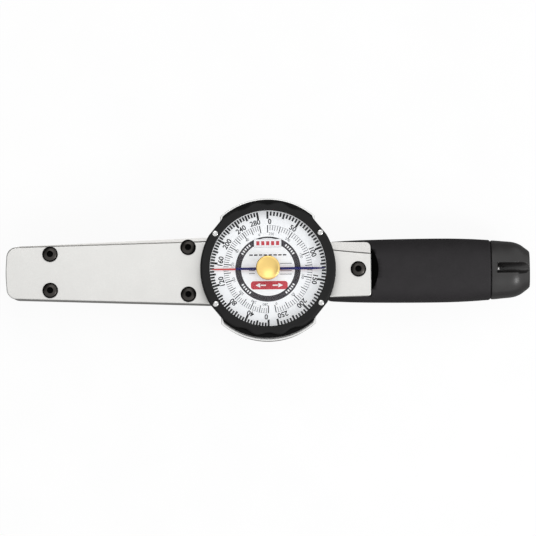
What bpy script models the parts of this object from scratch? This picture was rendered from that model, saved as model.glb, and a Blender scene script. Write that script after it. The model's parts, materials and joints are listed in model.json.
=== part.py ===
"""Dial torque wrench with a 3/8 inch square drive, built piece by piece.

The origin is the centre of the square drive's end face.
+X runs along the wrench to the handle and +Z points out of the dial.
Lengths are in metres: each one is written in millimetres times MM.
Heights are written from the plane of the case's back; the last step of the
script lifts everything by the square's length.
"""

import math

import bmesh
import bpy
from mathutils import Matrix

MM = 0.001
GAP = 0.05 * MM

# Drive head and square.
SQUARE = 9.525 * MM
SQUARE_LENGTH = 12.0 * MM
HUB_R = 8.0 * MM
HUB_TOP = 14.5 * MM
HUB_FLANGE_R = 8.8 * MM
BUSH_R = 9.2 * MM
BALL_R = 1.75 * MM
BALL_X = -3.7 * MM
BALL_Z = -7.0 * MM
ARM_SCREW_X = -3.5 * MM
ARM_SCREW_Y = 4.5 * MM
BEAM_HALF = 2.0 * MM
BEAM_BOTTOM = 9.1 * MM
BEAM_TOP = 13.8 * MM
BEAM_END = 97.0 * MM
ANCHOR_X = 91.0 * MM
ANCHOR_Y = 5.5 * MM
ANCHOR_BORE_R = 2.12 * MM

# Case, seen from the dial side.
TIP_X = -14.0 * MM
REAR_X = 171.9 * MM
HALF_AT_TIP = 13.2 * MM
HALF_AT_DRUM = 17.3 * MM
HALF_BEHIND_DRUM = 14.2 * MM
HALF_AT_REAR = 13.7 * MM
DRAFT = 0.9 * MM
BACK_CHAMFER = 1.0 * MM
WALL = 1.8 * MM
FLOOR = 2.0 * MM
POST_R = 3.6 * MM
BASE_POST_R = 2.9 * MM
WALL_TOP = 19.0 * MM
LIP_BOTTOM = 18.5 * MM
LIP_TOP = 20.7 * MM
LIP_START = -7.0 * MM
LIP_GAP = 0.15 * MM
LIP_STEP = 0.1 * MM
REAR_CORNER = 2.5 * MM
PLATE_TOP = 21.0 * MM

# Dial, on an axis parallel to the drive axis.
DIAL_X = 119.6 * MM
DRUM_R = 35.8 * MM
DRUM_HALF_WIDTH = 24.0 * MM
FLANGE_R = 36.4 * MM
FLANGE_TOP = 22.5 * MM
SPIGOT_R = 27.0 * MM
RING_R = 35.2 * MM
RING_TOP = 28.0 * MM
BEZEL_R = 34.4 * MM
BEZEL_TOP = 30.8 * MM
BEZEL_BITE = 1.4 * MM
SCALLOP_PITCH = 21.5
LAST_LOBE = 1.5 * SCALLOP_PITCH
WINDOW_R = 29.5 * MM
DIAL_R = 30.6 * MM
DIAL_Z = 24.6 * MM
CRYSTAL_R = 30.6 * MM
CRYSTAL_Z = 28.3 * MM
CRYSTAL_TOP = 29.7 * MM
BEZEL_SCREWS_R = 32.07 * MM
BEZEL_SCREWS_ANGLE = math.radians(33.9)

# Toothed sector on the drive head's arm, and the pinion on the pointer's staff.
MODULE = 0.5 * MM
PINION_TEETH = 10
PINION_R = MODULE * PINION_TEETH / 2
SECTOR_R = DIAL_X - PINION_R
SECTOR_TEETH = 12
TOOTH_PITCH = math.pi * MODULE
TOOTH_WIDTH = 0.5 * MM
ADDENDUM = 0.42 * MM
DEDENDUM = 0.6 * MM
TIP_WIDTH = 0.2 * MM
ROOT_WIDTH = 0.75 * MM
ARM_Z = 14.52 * MM
ARM_TOP = 16.0 * MM

# Handle.
GRIP_Z = 8.5 * MM
CORE_HALF = 8.0 * MM
CORE_BOTTOM = 2.2 * MM
CORE_TOP = 17.5 * MM
DOWEL_X = 152.0 * MM
DOWEL_Y = 6.0 * MM
DOWEL_R = 2.5 * MM
SCOOP_R = 17.0 * MM
SCOOP_X = 158.8 * MM
SCOOP_FLOOR = 18.5 * MM
CAP_SCREW_X = 236.2 * MM
CAP_SCREW_Z = 14.0 * MM
CAP_SCREW_R = 1.5 * MM
GROOVE_R = 2.6 * MM
GROOVE_END_X = 255.0 * MM
GROOVE_END_Z = 19.0 * MM

# The handle's cross-sections: (x, half the width, half the depth) in millimetres.
GRIP_SHAPE = [
    (150.0, 14.3, 10.5), (151.0, 15.0, 11.3), (155.0, 15.35, 12.0), (163.0, 15.75, 12.6),
    (175.0, 16.05, 13.0), (192.0, 16.25, 13.2), (210.0, 16.25, 13.2), (222.0, 15.9, 13.0),
    (231.0, 15.35, 12.6), (232.3, 15.2, 12.5), (232.9, 14.7, 12.1),
]
CAP_SHAPE = [
    (233.15, 14.6, 12.0), (233.7, 15.0, 12.4), (240.0, 14.5, 12.0), (246.2, 13.5, 11.2),
    (247.0, 13.2, 10.9), (249.5, 11.5, 9.4), (252.0, 9.6, 7.8), (252.7, 9.0, 7.3),
    (253.0, 8.4, 6.9),
]

# Screws that hold the cover: (x, y) of each one.
COVER_SCREWS = [
    (8.9 * MM, 9.25 * MM),
    (8.9 * MM, -9.25 * MM),
    (79.1 * MM, 12.0 * MM),
    (79.1 * MM, -12.0 * MM),
    (165.5 * MM, 0.0),
]
SCREW_SHANK_R = 2.1 * MM
BASE_SCREW_ANGLES = [math.radians(a) for a in (0, 105, 255)]
BASE_SCREW_CIRCLE = 22.0 * MM
BASE_SEAT = 23.2 * MM
BEZEL_SEAT = 30.1 * MM

for old in list(bpy.data.objects):
    bpy.data.objects.remove(old, do_unlink=True)

parts = bpy.data.collections.new("torque_wrench")
cutters = bpy.data.collections.new("cutters")
bpy.context.scene.collection.children.link(parts)
bpy.context.scene.collection.children.link(cutters)


# ---------------------------------------------------------------- materials

def material(name, color, roughness, metallic):
    """A Principled material in one plain colour."""
    made = bpy.data.materials.new(name)
    made.use_nodes = True
    shader = made.node_tree.nodes["Principled BSDF"]
    shader.inputs["Base Color"].default_value = (*color, 1.0)
    shader.inputs["Roughness"].default_value = roughness
    shader.inputs["Metallic"].default_value = metallic
    return made


NICKEL = material("satin_nickel", (0.72, 0.71, 0.68), 0.35, 1.0)
STEEL = material("steel", (0.56, 0.57, 0.58), 0.35, 1.0)
BLACK_OXIDE = material("black_oxide", (0.02, 0.02, 0.02), 0.45, 0.8)
BRONZE = material("bronze", (0.55, 0.38, 0.2), 0.4, 1.0)
BRASS = material("brass", (0.9, 0.68, 0.3), 0.3, 1.0)
BLACK_PLASTIC = material("black_plastic", (0.03, 0.03, 0.032), 0.5, 0.0)
RUBBER = material("grip_rubber", (0.026, 0.025, 0.026), 0.8, 0.0)
CAP_PLASTIC = material("cap_plastic", (0.028, 0.028, 0.03), 0.45, 0.0)
DIAL_WHITE = material("dial_white", (0.93, 0.93, 0.95), 0.6, 0.0)
CLEAR = material("crystal", (0.95, 0.97, 0.98), 0.05, 0.0)
RED = material("red_paint", (0.5, 0.03, 0.03), 0.4, 0.0)
BLUE = material("blue_paint", (0.01, 0.01, 0.16), 0.4, 0.0)


# ------------------------------------------------------------------ helpers

def add_object(name, mesh, collection, surface):
    """Puts a mesh in the scene as a named part with its material."""
    made = bpy.data.objects.new(name, mesh)
    collection.objects.link(made)
    mesh.materials.clear()
    mesh.materials.append(surface)
    if collection is cutters:
        made.hide_render = True
        made.display_type = "WIRE"
    return made


def shade_smooth(mesh, angle=math.radians(35)):
    """Smooth shading, with sharp edges kept where the surface turns hard."""
    for face in mesh.polygons:
        face.use_smooth = True
    mesh.set_sharp_from_angle(angle=angle)


def curve_mesh(curve):
    """The closed mesh that a curve makes, with its caps joined on."""
    temporary = bpy.data.objects.new("temporary", curve)
    parts.objects.link(temporary)
    bpy.context.view_layer.update()
    evaluated = temporary.evaluated_get(bpy.context.evaluated_depsgraph_get())
    mesh = bpy.data.meshes.new_from_object(evaluated)
    work = bmesh.new()
    work.from_mesh(mesh)
    bmesh.ops.remove_doubles(work, verts=work.verts, dist=0.001 * MM)
    bmesh.ops.recalc_face_normals(work, faces=work.faces)
    work.to_mesh(mesh)
    work.free()
    bpy.data.objects.remove(temporary, do_unlink=True)
    bpy.data.curves.remove(curve)
    return mesh


def plate(name, outlines, low, high, surface, collection=parts):
    """A flat plate from z=low to z=high. Outlines after the first are holes."""
    curve = bpy.data.curves.new(name, "CURVE")
    curve.dimensions = "2D"
    curve.fill_mode = "BOTH"
    curve.extrude = (high - low) / 2
    for outline in outlines:
        spline = curve.splines.new("POLY")
        spline.points.add(len(outline) - 1)
        for point, (x, y) in zip(spline.points, outline):
            point.co = (x, y, 0, 1)
        spline.use_cyclic_u = True
    mesh = curve_mesh(curve)
    mesh.transform(Matrix.Translation((0, 0, (low + high) / 2)))
    shade_smooth(mesh)
    return add_object(name, mesh, collection, surface)


def turned(name, profile, centre, surface, collection=parts, steps=32, axis="Z"):
    """A solid turned about an axis. Profile: (radius, height) down the outer side."""
    mesh = bpy.data.meshes.new(name)
    points = [(radius, 0, height) for radius, height in profile]
    closed = profile[0][0] > 0
    edges = [(i, i + 1) for i in range(len(points) - 1)]
    if closed:
        edges.append((len(points) - 1, 0))
    mesh.from_pydata(points, edges, [])
    made = add_object(name, mesh, collection, surface)
    screw = made.modifiers.new("turn", "SCREW")
    screw.axis = "Z"
    screw.steps = steps
    screw.render_steps = steps
    screw.use_merge_vertices = True
    screw.merge_threshold = 0.001 * MM
    screw.use_smooth_shade = True
    made.location = centre
    if axis == "X":
        made.rotation_euler = (0, math.radians(90), 0)
    return made


def cylinder(name, radius, low, high, x, y, surface, collection=parts, segments=16):
    """An upright cylinder from z=low to z=high."""
    mesh = bpy.data.meshes.new(name)
    work = bmesh.new()
    bmesh.ops.create_cone(
        work, cap_ends=True, segments=segments, radius1=radius, radius2=radius, depth=high - low
    )
    work.to_mesh(mesh)
    work.free()
    shade_smooth(mesh)
    made = add_object(name, mesh, collection, surface)
    made.location = (x, y, (low + high) / 2)
    return made


def box(name, low, high, surface, collection=parts):
    """A box between two corners."""
    mesh = bpy.data.meshes.new(name)
    work = bmesh.new()
    bmesh.ops.create_cube(work, size=1.0)
    size = [b - a for a, b in zip(low, high)]
    bmesh.ops.scale(work, vec=size, verts=work.verts)
    work.to_mesh(mesh)
    work.free()
    made = add_object(name, mesh, collection, surface)
    made.location = [(a + b) / 2 for a, b in zip(low, high)]
    return made


def loft(name, sections, surface, collection=parts):
    """A closed skin through cross-sections that have the same number of points."""
    mesh = bpy.data.meshes.new(name)
    work = bmesh.new()
    rings = [[work.verts.new(point) for point in section] for section in sections]
    for ring, following in zip(rings, rings[1:]):
        for k in range(len(ring)):
            after = (k + 1) % len(ring)
            work.faces.new((ring[k], ring[after], following[after], following[k]))
    work.faces.new(rings[0])
    work.faces.new(list(reversed(rings[-1])))
    bmesh.ops.recalc_face_normals(work, faces=work.faces)
    work.to_mesh(mesh)
    work.free()
    shade_smooth(mesh, math.radians(50))
    return add_object(name, mesh, collection, surface)


def combine(target, tool, operation):
    """Joins a tool to the target, or cuts it out, with an exact boolean."""
    change = target.modifiers.new(tool.name, "BOOLEAN")
    change.operation = operation
    change.solver = "EXACT"
    change.object = tool


def round_edges(target, width, segments=2, angle=math.radians(50)):
    """Rounds the edges that turn by more than the angle."""
    bevel = target.modifiers.new("bevel", "BEVEL")
    bevel.width = width
    bevel.segments = segments
    bevel.limit_method = "ANGLE"
    bevel.angle_limit = angle


def circle(radius, x=0.0, y=0.0, segments=48):
    """A circle's points, counter-clockwise."""
    turns = [2 * math.pi * i / segments for i in range(segments)]
    return [(x + radius * math.cos(t), y + radius * math.sin(t)) for t in turns]


def polar(radius, angle, x=0.0, y=0.0):
    """The point at a radius and angle about (x, y)."""
    return (x + radius * math.cos(angle), y + radius * math.sin(angle))


def rounded(corners, steps=5):
    """An outline whose corners are (x, y, radius); radius 0 leaves a corner sharp."""
    outline = []
    count = len(corners)
    for i, (x, y, radius) in enumerate(corners):
        before = corners[i - 1]
        after = corners[(i + 1) % count]
        if radius == 0:
            outline.append((x, y))
            continue
        to_before = math.atan2(before[1] - y, before[0] - x)
        to_after = math.atan2(after[1] - y, after[0] - x)
        opening = (to_before - to_after) % (2 * math.pi)
        convex = opening < math.pi
        half = (opening if convex else 2 * math.pi - opening) / 2
        along = radius / math.tan(half)
        middle = to_after + half if convex else to_after - half
        centre = polar(radius / math.sin(half), middle, x, y)
        start = polar(along, to_before, x, y)
        end = polar(along, to_after, x, y)
        first = math.atan2(start[1] - centre[1], start[0] - centre[0])
        last = math.atan2(end[1] - centre[1], end[0] - centre[0])
        sweep = (last - first + math.pi) % (2 * math.pi) - math.pi
        for k in range(steps + 1):
            outline.append(polar(radius, first + sweep * k / steps, *centre))
    return outline


def in_mm(profile):
    """A profile written in millimetres, in metres."""
    return [(radius * MM, height * MM) for radius, height in profile]


# ------------------------------------------------------------- the outlines

def half_width(x):
    """Half the case's width at x, away from the drum."""
    if x < DIAL_X:
        start, end = TIP_X, DIAL_X - DRUM_HALF_WIDTH
        low, high = HALF_AT_TIP, HALF_AT_DRUM
    else:
        start, end = DIAL_X + DRUM_HALF_WIDTH, REAR_X
        low, high = HALF_BEHIND_DRUM, HALF_AT_REAR
    return low + (high - low) * (x - start) / (end - start)


def drum_side(side, inset, steps=12):
    """The round side of the drum, from the head end to the handle end."""
    radius = DRUM_R - inset
    reach = DRUM_HALF_WIDTH - inset
    first = math.acos(-reach / radius)
    last = math.acos(reach / radius)
    angles = [first + (last - first) * k / steps for k in range(steps + 1)]
    return [polar(radius, side * a, DIAL_X) for a in angles]


def lip_width(x):
    """How far the lip on the +Y side covers the face, at x."""
    if x < DIAL_X:
        return max(0.0, 0.3 * MM + (x + 5 * MM) * 0.0185)
    return 4.0 * MM + (x - 150 * MM) * 0.08


def no_lip(x):
    """The width of a lip that isn't there."""
    return 0.0


def case_outline(inset=0.0, rear=REAR_X, lip=no_lip, corner=REAR_CORNER):
    """The case's outline, counter-clockwise, moved inwards by the inset.

    With a lip, the +Y edge of both arms is moved in by the lip's width there.
    """
    drum_start = DIAL_X - DRUM_HALF_WIDTH + inset
    drum_end = DIAL_X + DRUM_HALF_WIDTH - inset
    tip = TIP_X + inset
    shoulder = TIP_X + 0.9 * MM + inset
    rear_low = half_width(rear) - inset
    rear_high = rear_low - lip(rear)
    tip_half = half_width(TIP_X) - inset
    corners = [
        (tip, 0.0, 60 * MM),
        (shoulder, -tip_half, 5 * MM),
        (drum_start, -(half_width(drum_start - inset) - inset), 0),
    ]
    corners += [(x, y, 0) for x, y in drum_side(-1, inset)]
    corners += [
        (drum_end, -(half_width(drum_end + inset) - inset), 0),
        (rear, -rear_low, 1.5 * MM),
        (rear, rear_high, corner),
        (drum_end, half_width(drum_end + inset) - inset - lip(drum_end), 0),
    ]
    corners += [(x, y, 0) for x, y in reversed(drum_side(1, inset))]
    corners += [
        (drum_start, half_width(drum_start - inset) - inset - lip(drum_start), 0),
        (shoulder, tip_half - lip(shoulder), 5 * MM),
    ]
    return rounded(corners)


# ----------------------------------------------------------------- the case

def build_case():
    """The cast case: floor, walls, drum under the dial, posts and bearing bosses."""
    levels = [(DRAFT + BACK_CHAMFER, 0.0), (DRAFT, BACK_CHAMFER), (0.0, WALL_TOP)]
    sections = [[(x, y, z) for x, y in case_outline(inset)] for inset, z in levels]
    case = loft("case_body", sections, NICKEL)
    pocket = plate(
        "case_pocket", [case_outline(WALL, REAR_X + 5 * MM)], FLOOR, WALL_TOP + MM, NICKEL, cutters
    )
    combine(case, pocket, "DIFFERENCE")
    lip_spans = [
        (LIP_START, DIAL_X - DRUM_HALF_WIDTH, 0.0),
        (DIAL_X + DRUM_HALF_WIDTH, REAR_X - LIP_STEP, REAR_CORNER),
    ]
    for i, (start, end, corner) in enumerate(lip_spans):
        lip = [
            (start, half_width(start) - lip_width(start) + LIP_GAP, 0),
            (end, half_width(end) - lip_width(end) + LIP_GAP, 0),
            (end, half_width(end) - LIP_STEP, corner),
            (start, half_width(start) - LIP_STEP, 0),
        ]
        strip = plate(f"lip_{i}", [rounded(lip)], LIP_BOTTOM, LIP_TOP, NICKEL, cutters)
        combine(case, strip, "UNION")
    for i, (x, y) in enumerate(COVER_SCREWS[:4]):
        post = cylinder(f"post_{i}", POST_R, MM, WALL_TOP, x, y, NICKEL, cutters)
        combine(case, post, "UNION")
    for i, angle in enumerate(BASE_SCREW_ANGLES):
        x, y = polar(BASE_SCREW_CIRCLE, angle, DIAL_X)
        post = cylinder(f"base_post_{i}", BASE_POST_R, MM, WALL_TOP, x, y, NICKEL, cutters)
        combine(case, post, "UNION")
    head_boss = cylinder("head_boss", 11 * MM, MM, 7 * MM, 0, 0, NICKEL, cutters, 48)
    combine(case, head_boss, "UNION")
    staff_boss = cylinder("staff_boss", 4 * MM, MM, 5 * MM, DIAL_X, 0, NICKEL, cutters)
    combine(case, staff_boss, "UNION")
    head_bore = cylinder("head_bore", 9.28 * MM, -MM, 8 * MM, 0, 0, NICKEL, cutters, 32)
    combine(case, head_bore, "DIFFERENCE")
    bores = [
        ("staff_bore", 2.06 * MM, 1.0 * MM, 8 * MM, DIAL_X, 0),
        ("anchor_bore_0", ANCHOR_BORE_R, -MM, 4 * MM, ANCHOR_X, ANCHOR_Y),
        ("anchor_bore_1", ANCHOR_BORE_R, -MM, 4 * MM, ANCHOR_X, -ANCHOR_Y),
        ("anchor_sink_0", 3.6 * MM, -MM, 1.2 * MM, ANCHOR_X, ANCHOR_Y),
        ("anchor_sink_1", 3.6 * MM, -MM, 1.2 * MM, ANCHOR_X, -ANCHOR_Y),
        ("dowel_bore_0", DOWEL_R + GAP, -MM, 4 * MM, DOWEL_X, DOWEL_Y),
        ("dowel_bore_1", DOWEL_R + GAP, -MM, 4 * MM, DOWEL_X, -DOWEL_Y),
    ]
    bores += [
        (f"cover_bore_{i}", SCREW_SHANK_R + GAP, 8 * MM, 25 * MM, x, y)
        for i, (x, y) in enumerate(COVER_SCREWS[:4])
    ]
    for i, angle in enumerate(BASE_SCREW_ANGLES):
        x, y = polar(BASE_SCREW_CIRCLE, angle, DIAL_X)
        bores.append((f"base_bore_{i}", 1.25 * MM, 12 * MM, 25 * MM, x, y))
    for name, radius, low, high, x, y in bores:
        bore = cylinder(name, radius, low, high, x, y, NICKEL, cutters)
        combine(case, bore, "DIFFERENCE")


def build_cover():
    """The face plate, with its screw holes and the hole for the pointer's staff."""
    holes = [circle(SCREW_SHANK_R + 0.1 * MM, x, y, 24) for x, y in COVER_SCREWS]
    holes += [circle(3.2 * MM, DIAL_X, 0, 32)]
    for angle in BASE_SCREW_ANGLES:
        holes.append(circle(1.3 * MM, *polar(BASE_SCREW_CIRCLE, angle, DIAL_X), 20))
    outline = case_outline(0.0, REAR_X, lip_width, 0.3 * MM)
    plate("cover_plate", [outline] + holes, WALL_TOP + GAP, PLATE_TOP, NICKEL)


def build_cover_screws():
    """Button-head socket screws, black, down into the posts."""
    head = [
        (0.0, 1.9), (1.7, 1.9), (3.1, 1.5), (3.95, 0.6), (3.95, 0.05),
        (2.1, 0.02), (2.1, -12.5), (0.0, -12.5),
    ]
    profile = in_mm(head)
    for i, (x, y) in enumerate(COVER_SCREWS):
        screw = turned(
            f"cover_screw_{i + 1}", profile, (x, y, PLATE_TOP), BLACK_OXIDE, steps=18
        )
        socket = cylinder(
            f"cover_socket_{i + 1}", 1.45 * MM, PLATE_TOP + 0.6 * MM, PLATE_TOP + 3 * MM,
            x, y, BLACK_OXIDE, cutters, 6,
        )
        combine(screw, socket, "DIFFERENCE")


# ----------------------------------------------------------- the drive head

def gear_points(radius, count, first_angle):
    """The outline of straight-sided teeth, counter-clockwise, as (radius, angle)."""
    pitch = TOOTH_PITCH / radius
    half_tooth = [
        (radius - DEDENDUM, ROOT_WIDTH / 2),
        (radius, TOOTH_WIDTH / 2),
        (radius + ADDENDUM, TIP_WIDTH / 2),
    ]
    points = []
    for i in range(count):
        middle = first_angle + i * pitch
        points += [(r, middle - w / radius) for r, w in half_tooth]
        points += [(r, middle + w / radius) for r, w in reversed(half_tooth)]
    return points


def build_drive_head():
    """The square drive with its hub, slotted for the spring beam."""
    square_half = SQUARE / 2
    head = turned(
        "drive_head",
        [(0, HUB_TOP), (HUB_R, HUB_TOP), (HUB_R, 8.6 * MM), (HUB_FLANGE_R, 8.5 * MM),
         (HUB_FLANGE_R, 7.6 * MM), (HUB_R, 7.55 * MM), (HUB_R, 0), (0, 0)],
        (0, 0, 0), STEEL,
    )
    square = box(
        "square_bar", (-square_half, -square_half, -SQUARE_LENGTH),
        (square_half, square_half, MM), STEEL, cutters,
    )
    round_edges(square, 0.8 * MM, segments=1)
    combine(head, square, "UNION")
    slot = box(
        "beam_slot", (1 * MM, -2.05 * MM, 9 * MM), (12 * MM, 2.05 * MM, 20 * MM), STEEL, cutters
    )
    combine(head, slot, "DIFFERENCE")
    for side in (-1, 1):
        bore = cylinder(
            f"arm_bore_{side}", 1.3 * MM, 9 * MM, 20 * MM, ARM_SCREW_X, side * ARM_SCREW_Y,
            STEEL, cutters, 20,
        )
        combine(head, bore, "DIFFERENCE")
    ball_bore = turned(
        "ball_bore", [(0, 5.8 * MM), (1.8 * MM, 5.8 * MM), (1.8 * MM, 0), (0, 0)],
        (-5.0 * MM, 0, BALL_Z), STEEL, cutters, 24, "X",
    )
    combine(head, ball_bore, "DIFFERENCE")


def build_detent():
    """The spring-loaded ball that holds a socket on the square."""
    mesh = bpy.data.meshes.new("detent_ball")
    work = bmesh.new()
    bmesh.ops.create_uvsphere(work, u_segments=16, v_segments=8, radius=BALL_R)
    work.to_mesh(mesh)
    work.free()
    shade_smooth(mesh)
    ball = add_object("detent_ball", mesh, parts, STEEL)
    ball.location = (BALL_X, 0, BALL_Z)
    coil("detent_spring", 1.25 * MM, 0.18 * MM, 4, BALL_X + BALL_R + 0.25 * MM, 0.55 * MM)


def coil(name, radius, wire, turns, start, end):
    """A small helical spring along X at the ball's height."""
    curve = bpy.data.curves.new(name, "CURVE")
    curve.dimensions = "3D"
    curve.bevel_depth = wire
    curve.bevel_resolution = 1
    curve.use_fill_caps = True
    steps = turns * 12
    spline = curve.splines.new("POLY")
    spline.points.add(steps)
    for i, point in enumerate(spline.points):
        angle = 2 * math.pi * turns * i / steps
        x = start + (end - start) * i / steps
        y, z = polar(radius, angle, 0, BALL_Z)
        point.co = (x, y, z, 1)
    mesh = curve_mesh(curve)
    shade_smooth(mesh)
    return add_object(name, mesh, parts, STEEL)


def build_arm():
    """The light arm on the hub that carries the toothed sector."""
    pitch = TOOTH_PITCH / SECTOR_R
    half_sector = (SECTOR_TEETH / 2 + 0.3) * pitch
    first = -(SECTOR_TEETH - 1) / 2 * pitch
    root = SECTOR_R - DEDENDUM
    inner = SECTOR_R - 4 * MM
    teeth = [polar(r, a) for r, a in gear_points(SECTOR_R, SECTOR_TEETH, first)]
    outline = [polar(HUB_R, a) for a in [math.radians(25 + 10 * k) for k in range(32)]]
    outline += [(20 * MM, -3.2 * MM), (78 * MM, -2.8 * MM), (100 * MM, -2.8 * MM)]
    outline += [polar(inner, -half_sector), polar(root, -half_sector)]
    outline += teeth
    outline += [polar(root, half_sector), polar(inner, half_sector)]
    outline += [(100 * MM, 2.8 * MM), (78 * MM, 2.8 * MM), (20 * MM, 3.2 * MM)]
    holes = [circle(1.25 * MM, ARM_SCREW_X, side * ARM_SCREW_Y, 20) for side in (-1, 1)]
    plate("indicator_arm", [outline] + holes, ARM_Z, ARM_TOP, STEEL)
    head = [
        (0.0, 1.2), (1.9, 1.2), (2.1, 0.9), (2.1, 0.02), (1.15, 0.01), (1.15, -6.5), (0.0, -6.5),
    ]
    for i, side in enumerate((-1, 1)):
        place = (ARM_SCREW_X, side * ARM_SCREW_Y, ARM_TOP)
        turned(f"arm_screw_{i + 1}", in_mm(head), place, STEEL, steps=16)


def build_head_bearing():
    """The bronze bush in the case and the washer that carries the hub."""
    turned(
        "head_bush",
        [(BUSH_R, 7.0 * MM), (BUSH_R, 0.3 * MM), (HUB_R + GAP, 0.3 * MM), (HUB_R + GAP, 7.0 * MM)],
        (0, 0, 0), BRONZE,
    )
    turned(
        "thrust_washer",
        [(8.9 * MM, 7.5 * MM), (8.9 * MM, 7.05 * MM), (8.1 * MM, 7.05 * MM), (8.1 * MM, 7.5 * MM)],
        (0, 0, 0), BRONZE,
    )


def build_beam():
    """The spring beam between the drive head and the anchor block."""
    box(
        "deflection_beam", (1.1 * MM, -BEAM_HALF, BEAM_BOTTOM), (BEAM_END, BEAM_HALF, BEAM_TOP),
        STEEL,
    )
    anchor = box(
        "anchor_block", (84 * MM, -8 * MM, FLOOR + GAP), (98 * MM, 8 * MM, 13.9 * MM), STEEL
    )
    slot = box(
        "anchor_slot", (80 * MM, -2.03 * MM, BEAM_BOTTOM - GAP),
        (BEAM_END + 0.1 * MM, 2.03 * MM, 20 * MM), STEEL, cutters,
    )
    combine(anchor, slot, "DIFFERENCE")
    shank = [(0.0, 12.0), (2.0, 12.0), (2.0, 1.15), (3.5, 1.1), (3.5, 0.02), (0.0, 0.02)]
    for i, y in enumerate((ANCHOR_Y, -ANCHOR_Y)):
        hole = cylinder(
            f"anchor_hole_{i}", ANCHOR_BORE_R, 0, 12.2 * MM, ANCHOR_X, y, STEEL, cutters
        )
        combine(anchor, hole, "DIFFERENCE")
        turned(f"anchor_bolt_{i + 1}", in_mm(shank), (ANCHOR_X, y, 0), BLACK_OXIDE, steps=18)


# --------------------------------------------------------- pointer and dial

def build_pointer():
    """The pointer's staff with its pinion, hub, needle and hairspring."""
    staff = turned(
        "pinion_staff",
        [(0, 26.7 * MM), (0.9 * MM, 26.7 * MM), (0.9 * MM, 17 * MM), (1.0 * MM, 16.9 * MM),
         (1.0 * MM, 1.6 * MM), (0, 1.6 * MM)],
        (DIAL_X, 0, 0), STEEL, steps=20,
    )
    teeth = gear_points(PINION_R, PINION_TEETH, math.pi)
    pinion = plate(
        "pinion", [[polar(r, a) for r, a in teeth]], 13.6 * MM, 16.4 * MM, STEEL, cutters
    )
    pinion.location.x = DIAL_X
    combine(staff, pinion, "UNION")
    sleeves = [
        ("staff_bush_lower", 2.0, 1.03, 1.2, 5.3, BRONZE),
        ("staff_bush_upper", 3.0, 0.93, 19.6, 23.6, BRONZE),
        ("hairspring_collet", 1.7, 1.02, 8.8, 11.0, BRASS),
        ("indicator_hub", 2.1, 0.92, 25.6, 26.5, BRASS),
    ]
    for name, outer, inner, low, high, surface in sleeves:
        profile = in_mm([(outer, high), (outer, low), (inner, low), (inner, high)])
        turned(name, profile, (DIAL_X, 0, 0), surface, steps=18)
    hairspring()
    cylinder("hairspring_stud", 0.8 * MM, FLOOR + GAP, 11 * MM, DIAL_X - 9 * MM, 0, BRASS)
    reach = 29.2 * MM
    tail = 26.0 * MM
    hub_r = 2.35 * MM
    outline = [(-reach, 0.0), (-reach + 3 * MM, -0.45 * MM), (-2.2 * MM, -0.75 * MM)]
    outline += [polar(hub_r, math.radians(a)) for a in range(-160, -15, 20)]
    outline += [(tail, -0.15 * MM), (tail, 0.15 * MM)]
    outline += [polar(hub_r, math.radians(a)) for a in range(20, 165, 20)]
    outline += [(-2.2 * MM, 0.75 * MM), (-reach + 3 * MM, 0.45 * MM)]
    needle = plate(
        "indicator_needle", [outline, circle(2.12 * MM, segments=24)], 25.8 * MM, 26.1 * MM, RED
    )
    needle.location.x = DIAL_X


def hairspring():
    """The flat spiral spring that takes up the backlash of the teeth."""
    curve = bpy.data.curves.new("hairspring", "CURVE")
    curve.dimensions = "3D"
    curve.bevel_depth = 0.16 * MM
    curve.bevel_resolution = 1
    curve.use_fill_caps = True
    turns = 3
    steps = turns * 14
    spline = curve.splines.new("POLY")
    spline.points.add(steps)
    for i, point in enumerate(spline.points):
        angle = math.pi + 2 * math.pi * turns * (i / steps - 1)
        radius = (1.95 + (8.0 - 1.95) * i / steps) * MM
        x, y = polar(radius, angle, DIAL_X)
        point.co = (x, y, 9.9 * MM, 1)
    mesh = curve_mesh(curve)
    shade_smooth(mesh)
    add_object("hairspring", mesh, parts, STEEL)


def dial_outline(rim, body, bite=0.0, steps=16):
    """A ring's outer outline: round sides, flats by the screws, rims to +Y and -Y.

    A bite above zero cuts finger scallops into both rims.
    """
    quarter = [(math.radians(a), body) for a in (0, 7.5, 15, 22.5, 30)]
    flat_end = math.radians(47)
    quarter.append((flat_end, body - 0.15 * MM))
    quarter.append((math.radians(48.6), body + 0.35 * MM))
    for k in range(steps + 1):
        angle = math.radians(50) + math.radians(40) * k / steps
        from_top = math.degrees(math.pi / 2 - angle)
        wave = math.cos(2 * math.pi * from_top / SCALLOP_PITCH)
        depth = bite * (0.5 + 0.5 * wave) if from_top < LAST_LOBE else 0.0
        quarter.append((angle, rim - depth))
    points = [polar(r, a) for a, r in quarter]
    mirrored = [(-x, y) for x, y in reversed(points)][1:]
    half = points + mirrored
    lower = [(x, -y) for x, y in reversed(half)]
    return half + lower[1:-1]


def bezel_screw_places():
    """The places of the bezel's four screws."""
    angles = [BEZEL_SCREWS_ANGLE, math.pi - BEZEL_SCREWS_ANGLE]
    angles += [-angle for angle in angles]
    return [polar(BEZEL_SCREWS_R, angle, DIAL_X) for angle in angles]


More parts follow.
